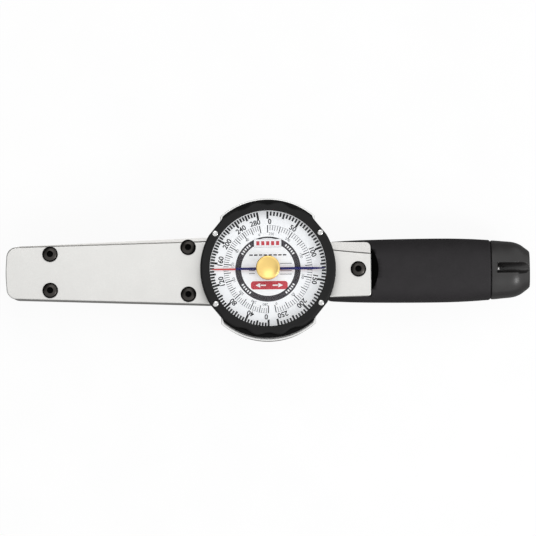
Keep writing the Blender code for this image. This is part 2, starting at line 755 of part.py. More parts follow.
def build_dial_base():
    """The bright flange on the case, with the spigot that the dial ring turns on."""
    reach = math.acos(DRUM_HALF_WIDTH / FLANGE_R)
    steps = 18
    side = [reach + (math.pi - 2 * reach) * k / steps for k in range(steps + 1)]
    outline = [polar(FLANGE_R, a) for a in side] + [polar(FLANGE_R, -a) for a in reversed(side)]
    base = plate("dial_base", [outline], PLATE_TOP + GAP, FLANGE_TOP, NICKEL)
    base.location.x = DIAL_X
    spigot = turned(
        "spigot",
        [(0, 24.3 * MM), (SPIGOT_R, 24.3 * MM), (SPIGOT_R, 23.95 * MM), (26.2 * MM, 23.9 * MM),
         (26.2 * MM, 23.15 * MM), (SPIGOT_R, 23.1 * MM), (SPIGOT_R, 22 * MM), (0, 22 * MM)],
        (DIAL_X, 0, 0), NICKEL, cutters, 40,
    )
    combine(base, spigot, "UNION")
    staff_hole = cylinder(
        "base_staff_hole", 3.08 * MM, 15 * MM, 30 * MM, DIAL_X, 0, NICKEL, cutters, 20
    )
    combine(base, staff_hole, "DIFFERENCE")
    screw = [
        (0.0, 0.9), (1.8, 0.9), (1.9, 0.7), (1.9, 0.02), (1.15, 0.01), (1.15, -10.5), (0.0, -10.5),
    ]
    for i, angle in enumerate(BASE_SCREW_ANGLES):
        x, y = polar(BASE_SCREW_CIRCLE, angle, DIAL_X)
        seat = cylinder(f"base_seat_{i}", 2.0 * MM, BASE_SEAT, 26 * MM, x, y, NICKEL, cutters, 24)
        hole = cylinder(f"base_hole_{i}", 1.25 * MM, 15 * MM, 26 * MM, x, y, NICKEL, cutters, 20)
        combine(base, seat, "DIFFERENCE")
        combine(base, hole, "DIFFERENCE")
        turned(f"base_screw_{i + 1}", in_mm(screw), (x, y, BASE_SEAT), STEEL, steps=20)


def build_dial_ring():
    """What turns to set zero: the ring, dial, crystal, bezel and its screws."""
    ring = plate(
        "zero_ring", [dial_outline(RING_R, BEZEL_R, steps=8)], FLANGE_TOP + 0.25 * MM, RING_TOP,
        BLACK_PLASTIC,
    )
    ring.location.x = DIAL_X
    bore = turned(
        "ring_bore",
        in_mm([(0, 32), (30.8, 32), (30.8, 24.55), (27.3, 24.55), (27.3, 24.05), (28.2, 24.0),
               (28.2, 23.05), (27.3, 23.0), (27.3, 20), (0, 20)]),
        (DIAL_X, 0, 0), BLACK_PLASTIC, cutters, 40,
    )
    combine(ring, bore, "DIFFERENCE")
    clip_angles = [math.radians(8 + 344 * k / 40) for k in range(41)]
    clip = [polar(27.95 * MM, a, DIAL_X) for a in clip_angles]
    clip += [polar(26.45 * MM, a, DIAL_X) for a in reversed(clip_angles)]
    plate("ring_clip", [clip], 23.3 * MM, 23.75 * MM, STEEL)
    plate(
        "dial_plate", [circle(DIAL_R, DIAL_X), circle(3.4 * MM, DIAL_X, 0, 32)],
        DIAL_Z, DIAL_Z + 0.5 * MM, DIAL_WHITE,
    )
    plate(
        "crystal_gasket", [circle(30.5 * MM, DIAL_X), circle(29.6 * MM, DIAL_X)],
        RING_TOP - 0.2 * MM, CRYSTAL_Z - 0.02 * MM, RUBBER,
    )
    plate(
        "crystal", [circle(CRYSTAL_R, DIAL_X), circle(1.5 * MM, DIAL_X, 0, 24)],
        CRYSTAL_Z, CRYSTAL_TOP, CLEAR,
    )
    bezel = plate(
        "bezel", [dial_outline(BEZEL_R - 0.2 * MM, BEZEL_R - 0.1 * MM, BEZEL_BITE)],
        RING_TOP + 0.02 * MM, BEZEL_TOP, BLACK_PLASTIC,
    )
    bezel.location.x = DIAL_X
    window = turned(
        "bezel_window",
        [(0, 33 * MM), (WINDOW_R + 0.7 * MM, 33 * MM), (WINDOW_R, 30.3 * MM),
         (WINDOW_R, CRYSTAL_TOP + GAP), (CRYSTAL_R + 0.2 * MM, CRYSTAL_TOP + GAP),
         (CRYSTAL_R + 0.2 * MM, 26 * MM), (0, 26 * MM)],
        (DIAL_X, 0, 0), BLACK_PLASTIC, cutters, 40,
    )
    combine(bezel, window, "DIFFERENCE")
    screw = [
        (0.0, 0.75), (1.35, 0.75), (1.6, 0.5), (1.6, 0.02), (0.9, 0.01), (0.9, -5.0), (0.0, -5.0),
    ]
    for i, (x, y) in enumerate(bezel_screw_places()):
        seat = cylinder(
            f"bezel_seat_{i}", 1.68 * MM, BEZEL_SEAT, 33 * MM, x, y, BLACK_PLASTIC, cutters, 24
        )
        hole = cylinder(
            f"bezel_hole_{i}", 0.95 * MM, 24.9 * MM, 33 * MM, x, y, BLACK_PLASTIC, cutters, 20
        )
        combine(bezel, seat, "DIFFERENCE")
        combine(bezel, hole, "DIFFERENCE")
        combine(ring, hole, "DIFFERENCE")
        turned(f"bezel_screw_{i + 1}", in_mm(screw), (x, y, BEZEL_SEAT), STEEL, steps=18)


def build_memory():
    """The memory pointer: knob above the crystal and needle below it."""
    knob = [
        (0.0, 4.3), (5.4, 4.3), (5.9, 4.0), (6.1, 3.5), (6.1, 0.8), (5.7, 0.4), (1.32, 0.4),
        (1.32, 2.6), (0.0, 2.6),
    ]
    turned("memory_knob", in_mm(knob), (DIAL_X, 0, CRYSTAL_TOP), BRASS)
    spindle = [
        (0.0, 32.2), (1.28, 32.2), (1.28, 28.1), (1.9, 28.05), (1.9, 27.72), (1.2, 27.68),
        (1.2, 27.0), (0.0, 27.0),
    ]
    turned("memory_spindle", in_mm(spindle), (DIAL_X, 0, 0), BRASS, steps=18)
    washer = [(3.4, 30.0), (3.4, 29.75), (1.4, 29.75), (1.4, 30.0)]
    turned("friction_washer", in_mm(washer), (DIAL_X, 0, 0), STEEL, steps=18)
    long_arm = 28.9 * MM
    tail = 16.4 * MM
    half = 0.64 * MM
    hub_r = 2.5 * MM
    outline = [(-tail, -half), (-2.4 * MM, -half)]
    outline += [polar(hub_r, math.radians(a)) for a in range(-160, -15, 20)]
    outline += [(long_arm - 7 * MM, -half), (long_arm, 0.0), (long_arm - 7 * MM, half)]
    outline += [polar(hub_r, math.radians(a)) for a in range(20, 165, 20)]
    outline += [(-2.4 * MM, half), (-tail, half)]
    needle = plate(
        "memory_needle", [outline, circle(1.23 * MM, segments=24)], 27.3 * MM, 27.65 * MM, BLUE
    )
    needle.location.x = DIAL_X


# --------------------------------------------------------------- the handle

def grip_section(x, half_y, half_z, count=32, power=2.5):
    """One cross-section of the handle, a rounded box across X."""
    points = []
    for k in range(count):
        angle = 2 * math.pi * k / count
        c, s = math.cos(angle), math.sin(angle)
        y = half_y * math.copysign(abs(c) ** (2 / power), c)
        z = half_z * math.copysign(abs(s) ** (2 / power), s)
        points.append((x, y, GRIP_Z + z))
    return points


def groove_section(x, axis_z):
    """One cross-section of the end cap's groove: a half circle, open upwards."""
    points = [(x, -GROOVE_R, 30 * MM)]
    for k in range(9):
        y, z = polar(GROOVE_R, math.pi + math.pi * k / 8, 0, axis_z)
        points.append((x, y, z))
    points.append((x, GROOVE_R, 30 * MM))
    return points


def build_handle():
    """The steel core, the rubber grip round it, and the end cap with its screw."""
    core = box(
        "handle_core", (146 * MM, -11.5 * MM, FLOOR + GAP), (171.5 * MM, 11.5 * MM, 18.3 * MM),
        STEEL,
    )
    bar = box(
        "core_bar", (165 * MM, -CORE_HALF, CORE_BOTTOM), (231 * MM, CORE_HALF, CORE_TOP),
        STEEL, cutters,
    )
    combine(core, bar, "UNION")
    x, y = COVER_SCREWS[4]
    core_bores = [
        ("core_cover_bore", SCREW_SHANK_R + GAP, 8 * MM, 25 * MM, x, y),
        ("core_dowel_0", DOWEL_R + GAP, 0, 14 * MM, DOWEL_X, DOWEL_Y),
        ("core_dowel_1", DOWEL_R + GAP, 0, 14 * MM, DOWEL_X, -DOWEL_Y),
    ]
    for name, radius, low, high, bore_x, bore_y in core_bores:
        bore = cylinder(name, radius, low, high, bore_x, bore_y, STEEL, cutters)
        combine(core, bore, "DIFFERENCE")
    for i, side in enumerate((1, -1)):
        cylinder(
            f"handle_dowel_{i + 1}", DOWEL_R, 0.02 * MM, 13.9 * MM, DOWEL_X, side * DOWEL_Y,
            STEEL, parts, 24,
        )
    bore_r = CAP_SCREW_R + GAP
    screw_bore = turned(
        "cap_screw_bore", [(0, 30 * MM), (bore_r, 30 * MM), (bore_r, 0), (0, 0)],
        (219 * MM, 0, CAP_SCREW_Z), STEEL, cutters, 24, "X",
    )
    combine(core, screw_bore, "DIFFERENCE")

    sections = [grip_section(x * MM, y * MM, z * MM) for x, y, z in GRIP_SHAPE]
    grip = loft("grip", sections, RUBBER)
    core_space = box(
        "core_space", (160 * MM, -CORE_HALF - 0.1 * MM, CORE_BOTTOM - 0.1 * MM),
        (240 * MM, CORE_HALF + 0.1 * MM, CORE_TOP + 0.1 * MM), RUBBER, cutters,
    )
    combine(grip, core_space, "DIFFERENCE")
    fit = 0.12 * MM
    levels = [(DRAFT - fit, -0.1 * MM), (-fit, WALL_TOP), (-fit, 40 * MM)]
    case_space = loft(
        "case_space",
        [[(x, y, z) for x, y in case_outline(inset, REAR_X + 0.15 * MM)] for inset, z in levels],
        RUBBER, cutters,
    )
    combine(grip, case_space, "DIFFERENCE")
    scoop = turned(
        "scoop", [(0, 40 * MM), (SCOOP_R, 40 * MM), (SCOOP_R, SCOOP_FLOOR), (0, SCOOP_FLOOR)],
        (SCOOP_X, 0, 0), RUBBER, cutters, 48,
    )
    combine(grip, scoop, "DIFFERENCE")

    cap = loft(
        "end_cap", [grip_section(x * MM, y * MM, z * MM) for x, y, z in CAP_SHAPE], CAP_PLASTIC
    )
    groove_ends = [(CAP_SCREW_X, CAP_SCREW_Z), (GROOVE_END_X, GROOVE_END_Z)]
    groove = loft(
        "groove", [groove_section(x, z) for x, z in groove_ends], CAP_PLASTIC, cutters
    )
    combine(cap, groove, "DIFFERENCE")
    shank_hole = turned(
        "cap_shank_hole", [(0, 10 * MM), (bore_r, 10 * MM), (bore_r, 0), (0, 0)],
        (230 * MM, 0, CAP_SCREW_Z), CAP_PLASTIC, cutters, 24, "X",
    )
    combine(cap, shank_hole, "DIFFERENCE")
    head = [
        (0.0, 1.8), (1.2, 1.8), (2.1, 1.2), (2.3, 0.5), (2.3, 0.03), (1.5, 0.02), (1.5, -16.0),
        (0.0, -16.0),
    ]
    place = (CAP_SCREW_X, 0, CAP_SCREW_Z)
    turned("end_cap_screw", in_mm(head), place, STEEL, steps=18, axis="X")


build_case()
build_cover()
build_cover_screws()
build_drive_head()
build_detent()
build_arm()
build_head_bearing()
build_beam()
build_pointer()
build_dial_base()
build_dial_ring()
build_memory()
build_handle()

# From the case's back to the end of the square, where the origin is.
for piece in list(parts.objects) + list(cutters.objects):
    piece.location.z += SQUARE_LENGTH
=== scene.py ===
"""Looks of the dial torque wrench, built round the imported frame."""

import json
import math
from math import cos, pi, radians, sin

import bmesh
import bpy
from mathutils import Matrix, Vector


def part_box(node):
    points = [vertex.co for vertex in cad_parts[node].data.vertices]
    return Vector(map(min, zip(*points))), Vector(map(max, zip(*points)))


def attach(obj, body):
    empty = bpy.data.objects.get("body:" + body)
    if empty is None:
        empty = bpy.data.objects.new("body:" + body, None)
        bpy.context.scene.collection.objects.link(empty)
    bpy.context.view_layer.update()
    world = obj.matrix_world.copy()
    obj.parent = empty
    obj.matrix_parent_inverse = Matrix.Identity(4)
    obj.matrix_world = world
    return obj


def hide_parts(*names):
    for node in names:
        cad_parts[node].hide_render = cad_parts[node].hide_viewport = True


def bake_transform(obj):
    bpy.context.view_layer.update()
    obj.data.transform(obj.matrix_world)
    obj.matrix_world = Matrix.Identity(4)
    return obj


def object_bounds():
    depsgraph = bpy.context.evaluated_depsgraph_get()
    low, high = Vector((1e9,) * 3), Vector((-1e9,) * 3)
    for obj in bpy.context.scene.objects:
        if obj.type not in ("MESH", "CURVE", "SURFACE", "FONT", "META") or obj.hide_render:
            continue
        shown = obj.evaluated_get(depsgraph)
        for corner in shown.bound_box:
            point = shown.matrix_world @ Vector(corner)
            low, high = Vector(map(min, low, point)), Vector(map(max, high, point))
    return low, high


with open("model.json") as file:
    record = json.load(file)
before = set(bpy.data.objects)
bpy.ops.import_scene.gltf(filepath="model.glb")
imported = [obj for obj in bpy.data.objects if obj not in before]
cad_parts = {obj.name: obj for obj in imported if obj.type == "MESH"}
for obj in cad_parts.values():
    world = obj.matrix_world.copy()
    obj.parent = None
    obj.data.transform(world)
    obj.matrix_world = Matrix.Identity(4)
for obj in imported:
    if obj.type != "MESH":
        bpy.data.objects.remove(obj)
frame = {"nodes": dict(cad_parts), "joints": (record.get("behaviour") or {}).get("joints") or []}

MM = 0.001
cad_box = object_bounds()
nodes = frame["nodes"]
joints = {joint["name"]: joint for joint in frame["joints"]}
DIAL_X = Vector(joints["dial_turn"]["pos_m"]).x
DIAL_SPOT = (DIAL_X, 0, 0)
HUB_SPOT = (0, 0, 0)


# ---- sizes from the frame

# Heights below are from the case's back; place() lifts each piece into the frame.
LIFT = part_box("case_body")[0].z


def box(node):
    """A CAD node's lowest and highest corner, with heights from the case's back."""
    low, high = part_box(node)
    return low - Vector((0, 0, LIFT)), high - Vector((0, 0, LIFT))


def middle(node):
    """The centre of a CAD node's box."""
    low, high = box(node)
    return (low + high) / 2


def numbered(prefix, count):
    """The CAD nodes prefix_1, prefix_2 and so on, each as its number, x and y."""
    spots = []
    for i in range(1, count + 1):
        centre = middle(f"{prefix}_{i}")
        spots.append((i, centre.x, centre.y))
    return spots


case_low, case_high = box("case_body")
cover_low, cover_high = box("cover_plate")
flange_low, flange_high = box("dial_base")
ring_low, ring_high = box("zero_ring")
bezel_low, bezel_high = box("bezel")
grip_low, grip_high = box("grip")

TIP_X = case_low.x
REAR_X = case_high.x
FACE_Z = cover_high.z
WALL_TOP = cover_low.z - 0.05 * MM
LIP_TOP = case_high.z
DRUM_R = case_high.y
FLANGE_R = flange_high.y
RING_R = ring_high.y
BEZEL_R = 34.4 * MM
WINDOW_R = 29.5 * MM
DIAL_TOP = box("dial_plate")[1].z
GRIP_Z = (grip_low.z + grip_high.z) / 2

# The case's taper, seen from the dial side.
HALF_AT_TIP = 13.2 * MM
HALF_AT_DRUM = 17.3 * MM
HALF_BEHIND_DRUM = 14.2 * MM
HALF_AT_REAR = 13.7 * MM
DRUM_HALF_WIDTH = 24.0 * MM
DRUM_START = DIAL_X - DRUM_HALF_WIDTH
DRUM_END = DIAL_X + DRUM_HALF_WIDTH
DRAFT = 0.9 * MM
REAR_CORNER = 2.5 * MM
WALL = 1.8 * MM
FLOOR = 2.0 * MM
SQUARE = 9.525 * MM


# ---- node materials

def new_material(name):
    """A new material; returns it with its shader and its node tree."""
    made = bpy.data.materials.new(name)
    made.use_nodes = True
    tree = made.node_tree
    return made, tree.nodes["Principled BSDF"], tree


def wire(tree, node, inputs):
    """Sets a node's inputs, each to a value or to another node's output."""
    for key, value in inputs.items():
        if isinstance(value, bpy.types.NodeSocket):
            tree.links.new(value, node.inputs[key])
        else:
            node.inputs[key].default_value = value


def add_node(tree, kind, inputs=None, operation=None):
    """A new shader node with its inputs wired."""
    made = tree.nodes.new("ShaderNode" + kind)
    if operation:
        made.operation = operation
    wire(tree, made, inputs or {})
    return made


def noise(tree, size, detail=3.0, stretch=(1, 1, 1), roughness=0.55):
    """Noise on the piece whose features are about the given size across."""
    point = add_node(tree, "TexCoord").outputs["Object"]
    mapped = add_node(tree, "Mapping", {"Scale": stretch, "Vector": point}).outputs["Vector"]
    inputs = {"Scale": 1.0 / size, "Detail": detail, "Roughness": roughness, "Vector": mapped}
    return add_node(tree, "TexNoise", inputs).outputs["Fac"]


def remap(tree, value, low, high, from_low=0.3, from_high=0.7):
    """A value moved from one range to another."""
    return add_node(tree, "MapRange", {
        "From Min": from_low, "From Max": from_high, "To Min": low, "To Max": high,
        "Value": value,
    }).outputs["Result"]


def mix_color(tree, factor, first, second):
    """A blend of two colours by a factor."""
    made = add_node(tree, "Mix")
    made.data_type = "RGBA"
    tree.links.new(factor, made.inputs["Factor"])
    sockets = [s for s in made.inputs if s.type == "RGBA"]
    for socket, color in zip(sockets, (first, second)):
        if isinstance(color, tuple):
            socket.default_value = (*color, 1.0)
        else:
            tree.links.new(color, socket)
    return [s for s in made.outputs if s.type == "RGBA"][0]


def scaled(color, by):
    """A colour made lighter or darker."""
    return tuple(min(1.0, c * by) for c in color)


def bump(tree, height, strength, distance):
    """The normal of fine relief."""
    inputs = {"Strength": strength, "Distance": distance, "Height": height}
    return add_node(tree, "Bump", inputs).outputs["Normal"]


def edge_wear(tree, reach):
    """High along the edges, in uneven patches."""
    rounded_edge = add_node(tree, "Bevel", {"Radius": reach})
    rounded_edge.samples = 4
    normals = {
        0: rounded_edge.outputs["Normal"], 1: add_node(tree, "NewGeometry").outputs["Normal"],
    }
    agreement = add_node(tree, "VectorMath", normals, "DOT_PRODUCT").outputs["Value"]
    edge = remap(tree, agreement, 0.0, 1.0, 0.995, 0.93)
    patchy = remap(tree, noise(tree, 1.5 * MM), 0.35, 1.0)
    return add_node(tree, "Math", {0: edge, 1: patchy}, "MULTIPLY").outputs[0]


def metal(name, color, roughness, grain, relief, stretch=(1, 1, 1), worn=None, spread=0.06):
    """A metal with grain, uneven roughness and lighter edges."""
    made, shader, tree = new_material(name)
    cloudy = remap(tree, noise(tree, 9 * MM, 4.0), 0.0, 1.0)
    fine = noise(tree, grain, 3.0, stretch)
    tint = mix_color(tree, cloudy, scaled(color, 1 - spread), color)
    speck = mix_color(tree, remap(tree, fine, 0.0, 1.0), scaled(color, 0.9), tint)
    edge_color = worn or scaled(color, 1.12)
    wire(tree, shader, {
        "Metallic": 1.0,
        "Base Color": mix_color(tree, edge_wear(tree, 0.3 * MM), speck, edge_color),
        "Roughness": remap(tree, fine, roughness - 0.06, roughness + 0.08),
        "Normal": bump(tree, fine, relief, 0.02 * MM),
    })
    return made


def plastic(name, color, roughness, grain, relief, lighter=1.5, shine=0.22):
    """A moulded black material with fine texture and slightly worn edges."""
    made, shader, tree = new_material(name)
    fine = noise(tree, grain, 4.0, roughness=0.7)
    patches = noise(tree, 6 * MM, 3.0)
    spots = remap(tree, fine, 0.0, 1.0, 0.35, 0.75)
    spotted = mix_color(tree, spots, color, scaled(color, lighter))
    mottled = mix_color(tree, remap(tree, patches, 0.0, 0.5), spotted, scaled(color, 0.85))
    wire(tree, shader, {
        "Base Color": mix_color(tree, edge_wear(tree, 0.25 * MM), mottled, scaled(color, 2.2)),
        "Roughness": remap(tree, fine, roughness - 0.07, roughness + 0.07),
        "Specular IOR Level": shine,
        "Normal": bump(tree, fine, relief, 0.05 * MM),
    })
    return made


def deepen(material, color):
    """Paints shade into a material: takes it to a dark colour, with less sheen, where the piece's
    shade attribute is high.
    """
    tree = material.node_tree
    shader = tree.nodes["Principled BSDF"]
    named = add_node(tree, "Attribute")
    named.attribute_name = "shade"
    shade = named.outputs["Fac"]
    plain = shader.inputs["Base Color"].links[0].from_socket
    level = shader.inputs["Specular IOR Level"].default_value
    wire(tree, shader, {
        "Base Color": mix_color(tree, shade, plain, color),
        "Specular IOR Level": remap(tree, shade, level, level * 0.3, 0.0, 1.0),
    })
    return material


def shade_points(piece, shade_mask):
    """Marks the points of a piece where painted shade goes into its material."""
    shade = piece.data.attributes.new("shade", "FLOAT", "POINT")
    for vert, value in zip(piece.data.vertices, shade.data):
        value.value = 1.0 if shade_mask(vert.co) else 0.0


def print_ink(name, color, roughness=0.55, painted_glow=0.0):
    """Screen-printed ink with a little unevenness; white ink is given a faint glow, which is
    painted light that keeps it bright in shade.
    """
    made, shader, tree = new_material(name)
    patches = noise(tree, 0.5 * MM, 3.0)
    lighter = tuple(min(1.0, c * 1.25 + 0.003) for c in color)
    wire(tree, shader, {
        "Emission Color": (1, 1, 1, 1),
        "Emission Strength": painted_glow,
        "Specular IOR Level": 0.2,
        "Base Color": mix_color(tree, remap(tree, patches, 0.0, 1.0), color, lighter),
        "Roughness": remap(tree, patches, roughness - 0.1, roughness + 0.1),
        "Normal": bump(tree, patches, 0.15, 0.01 * MM),
    })
    return made


def clear_material():
    """Thin clear plastic: it lets light straight through and mirrors a little."""
    made, shader, tree = new_material("clear_crystal")
    tree.nodes.remove(shader)
    smears = remap(tree, noise(tree, 7 * MM, 4.0), 0.02, 0.09)
    glossy = add_node(tree, "BsdfGlossy", {"Roughness": smears})
    through = add_node(tree, "BsdfTransparent", {"Color": (0.985, 0.99, 0.995, 1.0)})
    facing = add_node(tree, "Fresnel", {"IOR": 1.4}).outputs["Fac"]
    weaker = add_node(tree, "Math", {0: facing, 1: 0.4}, "MULTIPLY").outputs[0]
    parts = {"Fac": weaker, 1: through.outputs["BSDF"], 2: glossy.outputs["BSDF"]}
    mixed = add_node(tree, "MixShader", parts).outputs["Shader"]
    wire(tree, tree.nodes["Material Output"], {"Surface": mixed})
    return made


NICKEL = metal("satin_nickel_plate", (0.74, 0.73, 0.71), 0.3, 0.22 * MM, 0.35)
NICKEL_RIM = metal("bright_nickel_rim", (0.93, 0.93, 0.92), 0.14, 0.12 * MM, 0.1, spread=0.02)
NICKEL_FACE = metal("grained_nickel_face", (0.77, 0.765, 0.745), 0.42, 0.45 * MM, 0.5)
BRIGHT_STEEL = metal("bright_steel", (0.72, 0.72, 0.71), 0.22, 0.12 * MM, 0.15)
TURNED_STEEL = metal("turned_steel", (0.55, 0.55, 0.55), 0.3, 0.2 * MM, 0.25)
GROUND_STEEL = metal("ground_steel", (0.5, 0.5, 0.51), 0.34, 0.2 * MM, 0.3, (0.1, 1, 1))
BRONZE = metal("sintered_bronze", (0.5, 0.33, 0.16), 0.42, 0.15 * MM, 0.4)
BRASS = metal("lacquered_brass", (0.95, 0.68, 0.24), 0.34, 0.1 * MM, 0.2, spread=0.03)
BLACK_OXIDE = metal(
    "black_oxide", (0.060, 0.056, 0.052), 0.36, 0.12 * MM, 0.2, worn=(0.14, 0.13, 0.12)
)
# Painted shade: the button heads go near black at the outer rim and in the hexagon socket, standing
# in for shade and dark reflection there.
SCREW_BLACK = deepen(
    metal("black_oxide_head", (0.06, 0.056, 0.052), 0.36, 0.12 * MM, 0.2, worn=(0.1, 0.09, 0.08)),
    (0.003, 0.003, 0.003),
)
BEZEL_BLACK = plastic("bezel_black", (0.012, 0.012, 0.0122), 0.5, 0.2 * MM, 0.35, shine=0.13)
RING_BLACK = plastic("ring_black", (0.002, 0.002, 0.002), 0.36, 0.2 * MM, 0.2, shine=0.1)
# Painted shade: the grip goes near black in its scoop round the case end, standing in for the
# shadow in that recess.
GRIP_RUBBER = deepen(
    plastic("grip_rubber", (0.018, 0.0165, 0.018), 0.62, 0.3 * MM, 0.55, 1.6), (0.002, 0.002, 0.002)
)
CAP_PLASTIC = plastic("cap_plastic", (0.021, 0.020, 0.020), 0.34, 0.35 * MM, 0.12, 1.2, 0.46)
SEAL_RUBBER = plastic("seal_rubber", (0.02, 0.02, 0.02), 0.7, 0.3 * MM, 0.4)
# Painted light: the dial glows faintly, so that it stays evenly white in the shade of the bezel.
DIAL_WHITE = print_ink("dial_white", (0.92, 0.93, 0.945), 0.5, 0.18)
INK_BLACK = print_ink("ink_black", (0.012, 0.012, 0.014))
INK_GREY = print_ink("ink_grey", (0.13, 0.13, 0.14))
INK_CHARCOAL = print_ink("ink_charcoal", (0.05, 0.045, 0.052))
INK_RED = print_ink("ink_red", (0.6, 0.06, 0.08))
# Painted light: the white print glows faintly as well.
INK_WHITE = print_ink("ink_white", (0.9, 0.9, 0.92), painted_glow=0.12)
NEEDLE_RED = print_ink("needle_red", (0.62, 0.06, 0.06), 0.35)
NEEDLE_BLUE = print_ink("needle_blue", (0.006, 0.006, 0.11), 0.3)
CLEAR = clear_material()


# ---- mesh helpers

def in_mm(*rows):
    """Rows of millimetres, in metres."""
    return [tuple(value * MM for value in row) for row in rows]


def add_object(name, data):
    """A new object in the scene."""
    made = bpy.data.objects.new(name, data)
    bpy.context.scene.collection.objects.link(made)
    return made


def link(name, mesh, material=None):
    """Puts a finished mesh in the scene; a cutting tool needs no material."""
    mesh.materials.clear()
    if material:
        mesh.materials.append(material)
    return add_object(name, mesh)


def mesh_from(name, work):
    """A new mesh with what the bmesh holds; the bmesh ends there."""
    mesh = bpy.data.meshes.new(name)
    work.to_mesh(mesh)
    work.free()
    return mesh


def evaluated_mesh(piece):
    """A new mesh of an object as its modifiers or its curve make it."""
    bpy.context.view_layer.update()
    evaluated = piece.evaluated_get(bpy.context.evaluated_depsgraph_get())
    return bpy.data.meshes.new_from_object(evaluated)


def curve_mesh(name, curve):
    """The mesh of a curve or text, which is then removed."""
    holder = add_object(name, curve)
    mesh = evaluated_mesh(holder)
    bpy.data.objects.remove(holder, do_unlink=True)
    bpy.data.curves.remove(curve)
    return mesh


def apply_modifiers(piece):
    """Replaces a piece's mesh by what its modifiers make of it."""
    mesh = evaluated_mesh(piece)
    old = piece.data
    piece.modifiers.clear()
    piece.data = mesh
    bpy.data.meshes.remove(old)
    return piece


def smooth(piece, degrees=30.0):
    """Smooth shading with sharp edges, weighted so that flat faces stay flat."""
    mesh = piece.data
    for face in mesh.polygons:
        face.use_smooth = True
    mesh.set_sharp_from_angle(angle=radians(degrees))
    weighted = piece.modifiers.new("weighted", "WEIGHTED_NORMAL")
    weighted.keep_sharp = True
    weighted.weight = 100
    return piece


def soften(piece, width, segments=3):
    """Rounds every edge that turns by more than 40 degrees."""
    bevel = piece.modifiers.new("bevel", "BEVEL")
    bevel.width = width
    bevel.segments = segments
    bevel.limit_method = "ANGLE"
    bevel.angle_limit = radians(40)
    bevel.use_clamp_overlap = True
    return apply_modifiers(piece)


def polar(radius, angle, x=0.0, y=0.0):
    """The point at a radius and angle about (x, y)."""
    return (x + radius * cos(angle), y + radius * sin(angle))


def slab_mesh(name, outlines, low, high):
    """The closed mesh of a flat outline with holes, from z=low to z=high."""
    curve = bpy.data.curves.new(name, "CURVE")
    curve.dimensions = "2D"
    curve.fill_mode = "BOTH"
    curve.extrude = (high - low) / 2
    for outline in outlines:
        spline = curve.splines.new("POLY")
        spline.points.add(len(outline) - 1)
        for point, (x, y) in zip(spline.points, outline):
            point.co = (x, y, 0, 1)
        spline.use_cyclic_u = True
    mesh = curve_mesh(name, curve)
    work = bmesh.new()
    work.from_mesh(mesh)
    bmesh.ops.remove_doubles(work, verts=work.verts, dist=0.0002 * MM)
    bmesh.ops.dissolve_limit(
        work, angle_limit=radians(0.05), verts=work.verts, edges=work.edges, delimit={"NORMAL"}
    )
    bmesh.ops.recalc_face_normals(work, faces=work.faces)
    bmesh.ops.translate(work, vec=(0, 0, (low + high) / 2), verts=work.verts)
    work.to_mesh(mesh)
    work.free()
    return mesh


def slab(name, outlines, low, high, material=None, edge=0.0, segments=3):
    """A flat plate with rounded edges."""
    piece = link(name, slab_mesh(name, outlines, low, high), material)
    if edge > 0:
        soften(piece, edge, segments)
    return smooth(piece)


def bridge(work, first, second):
    """The faces between two rings of points; a ring of one point makes a fan."""
    steps = max(len(first), len(second))
    for k in range(steps):
        after = (k + 1) % steps
        corners = []
        for vert in (first[k % len(first)], first[after % len(first)],
                     second[after % len(second)], second[k % len(second)]):
            if vert not in corners:
                corners.append(vert)
        work.faces.new(corners)


def fillet_profile(profile, radius, steps=3):
    """A turned profile with its corners off the axis rounded."""
    outline = []
    count = len(profile)
    closed = profile[0][0] > 0
    for k, (x, z) in enumerate(profile):
        if not closed and k in (0, count - 1):
            outline.append((x, z))
            continue
        before = profile[k - 1]
        after = profile[(k + 1) % count]
        back = Vector((before[0] - x, before[1] - z))
        ahead = Vector((after[0] - x, after[1] - z))
        reach = min(radius, back.length * 0.45, ahead.length * 0.45)
        corner = Vector((x, z))
        start = corner + back.normalized() * reach
        end = corner + ahead.normalized() * reach
        for step in range(steps + 1):
            t = step / steps
            point = start * (1 - t) ** 2 + corner * 2 * t * (1 - t) + end * t ** 2
            outline.append((point.x, point.y))
    return outline


def lathe(name, profile, centre, material=None, steps=96, edge=0.0, axis="Z"):
    """A turned piece at the centre. Profile: (radius, height) pairs, in order round it."""
    if edge > 0:
        profile = fillet_profile(profile, edge)
    work = bmesh.new()
    rings = [
        [
            work.verts.new((*polar(radius, 2 * pi * k / steps), height))
            for k in range(steps if radius > 0 else 1)
        ]
        for radius, height in profile
    ]
    for first, second in zip(rings, rings[1:]):
        bridge(work, first, second)
    if profile[0][0] > 0:
        bridge(work, rings[-1], rings[0])
    bmesh.ops.recalc_face_normals(work, faces=work.faces)
    mesh = mesh_from(name, work)
    if axis == "X":
        mesh.transform(Matrix.Rotation(radians(90), 4, "Y"))
    mesh.transform(Matrix.Translation(centre))
    return smooth(link(name, mesh, material))


def peg(radius, low, high, centre, steps=48, axis="Z"):
    """A plain round bar between two heights along its axis: a post or a cutting tool."""
    profile = [(0, high), (radius, high), (radius, low), (0, low)]
    return lathe("peg", profile, centre, None, steps, axis=axis)


def block(name, low, high, material=None):
    """A plain box, used as a cutting tool or as the start of a piece."""
    work = bmesh.new()
    bmesh.ops.create_cube(work, size=1.0)
    bmesh.ops.scale(work, vec=[b - a for a, b in zip(low, high)], verts=work.verts)
    bmesh.ops.translate(work, vec=[(a + b) / 2 for a, b in zip(low, high)], verts=work.verts)
    return link(name, mesh_from(name, work), material)


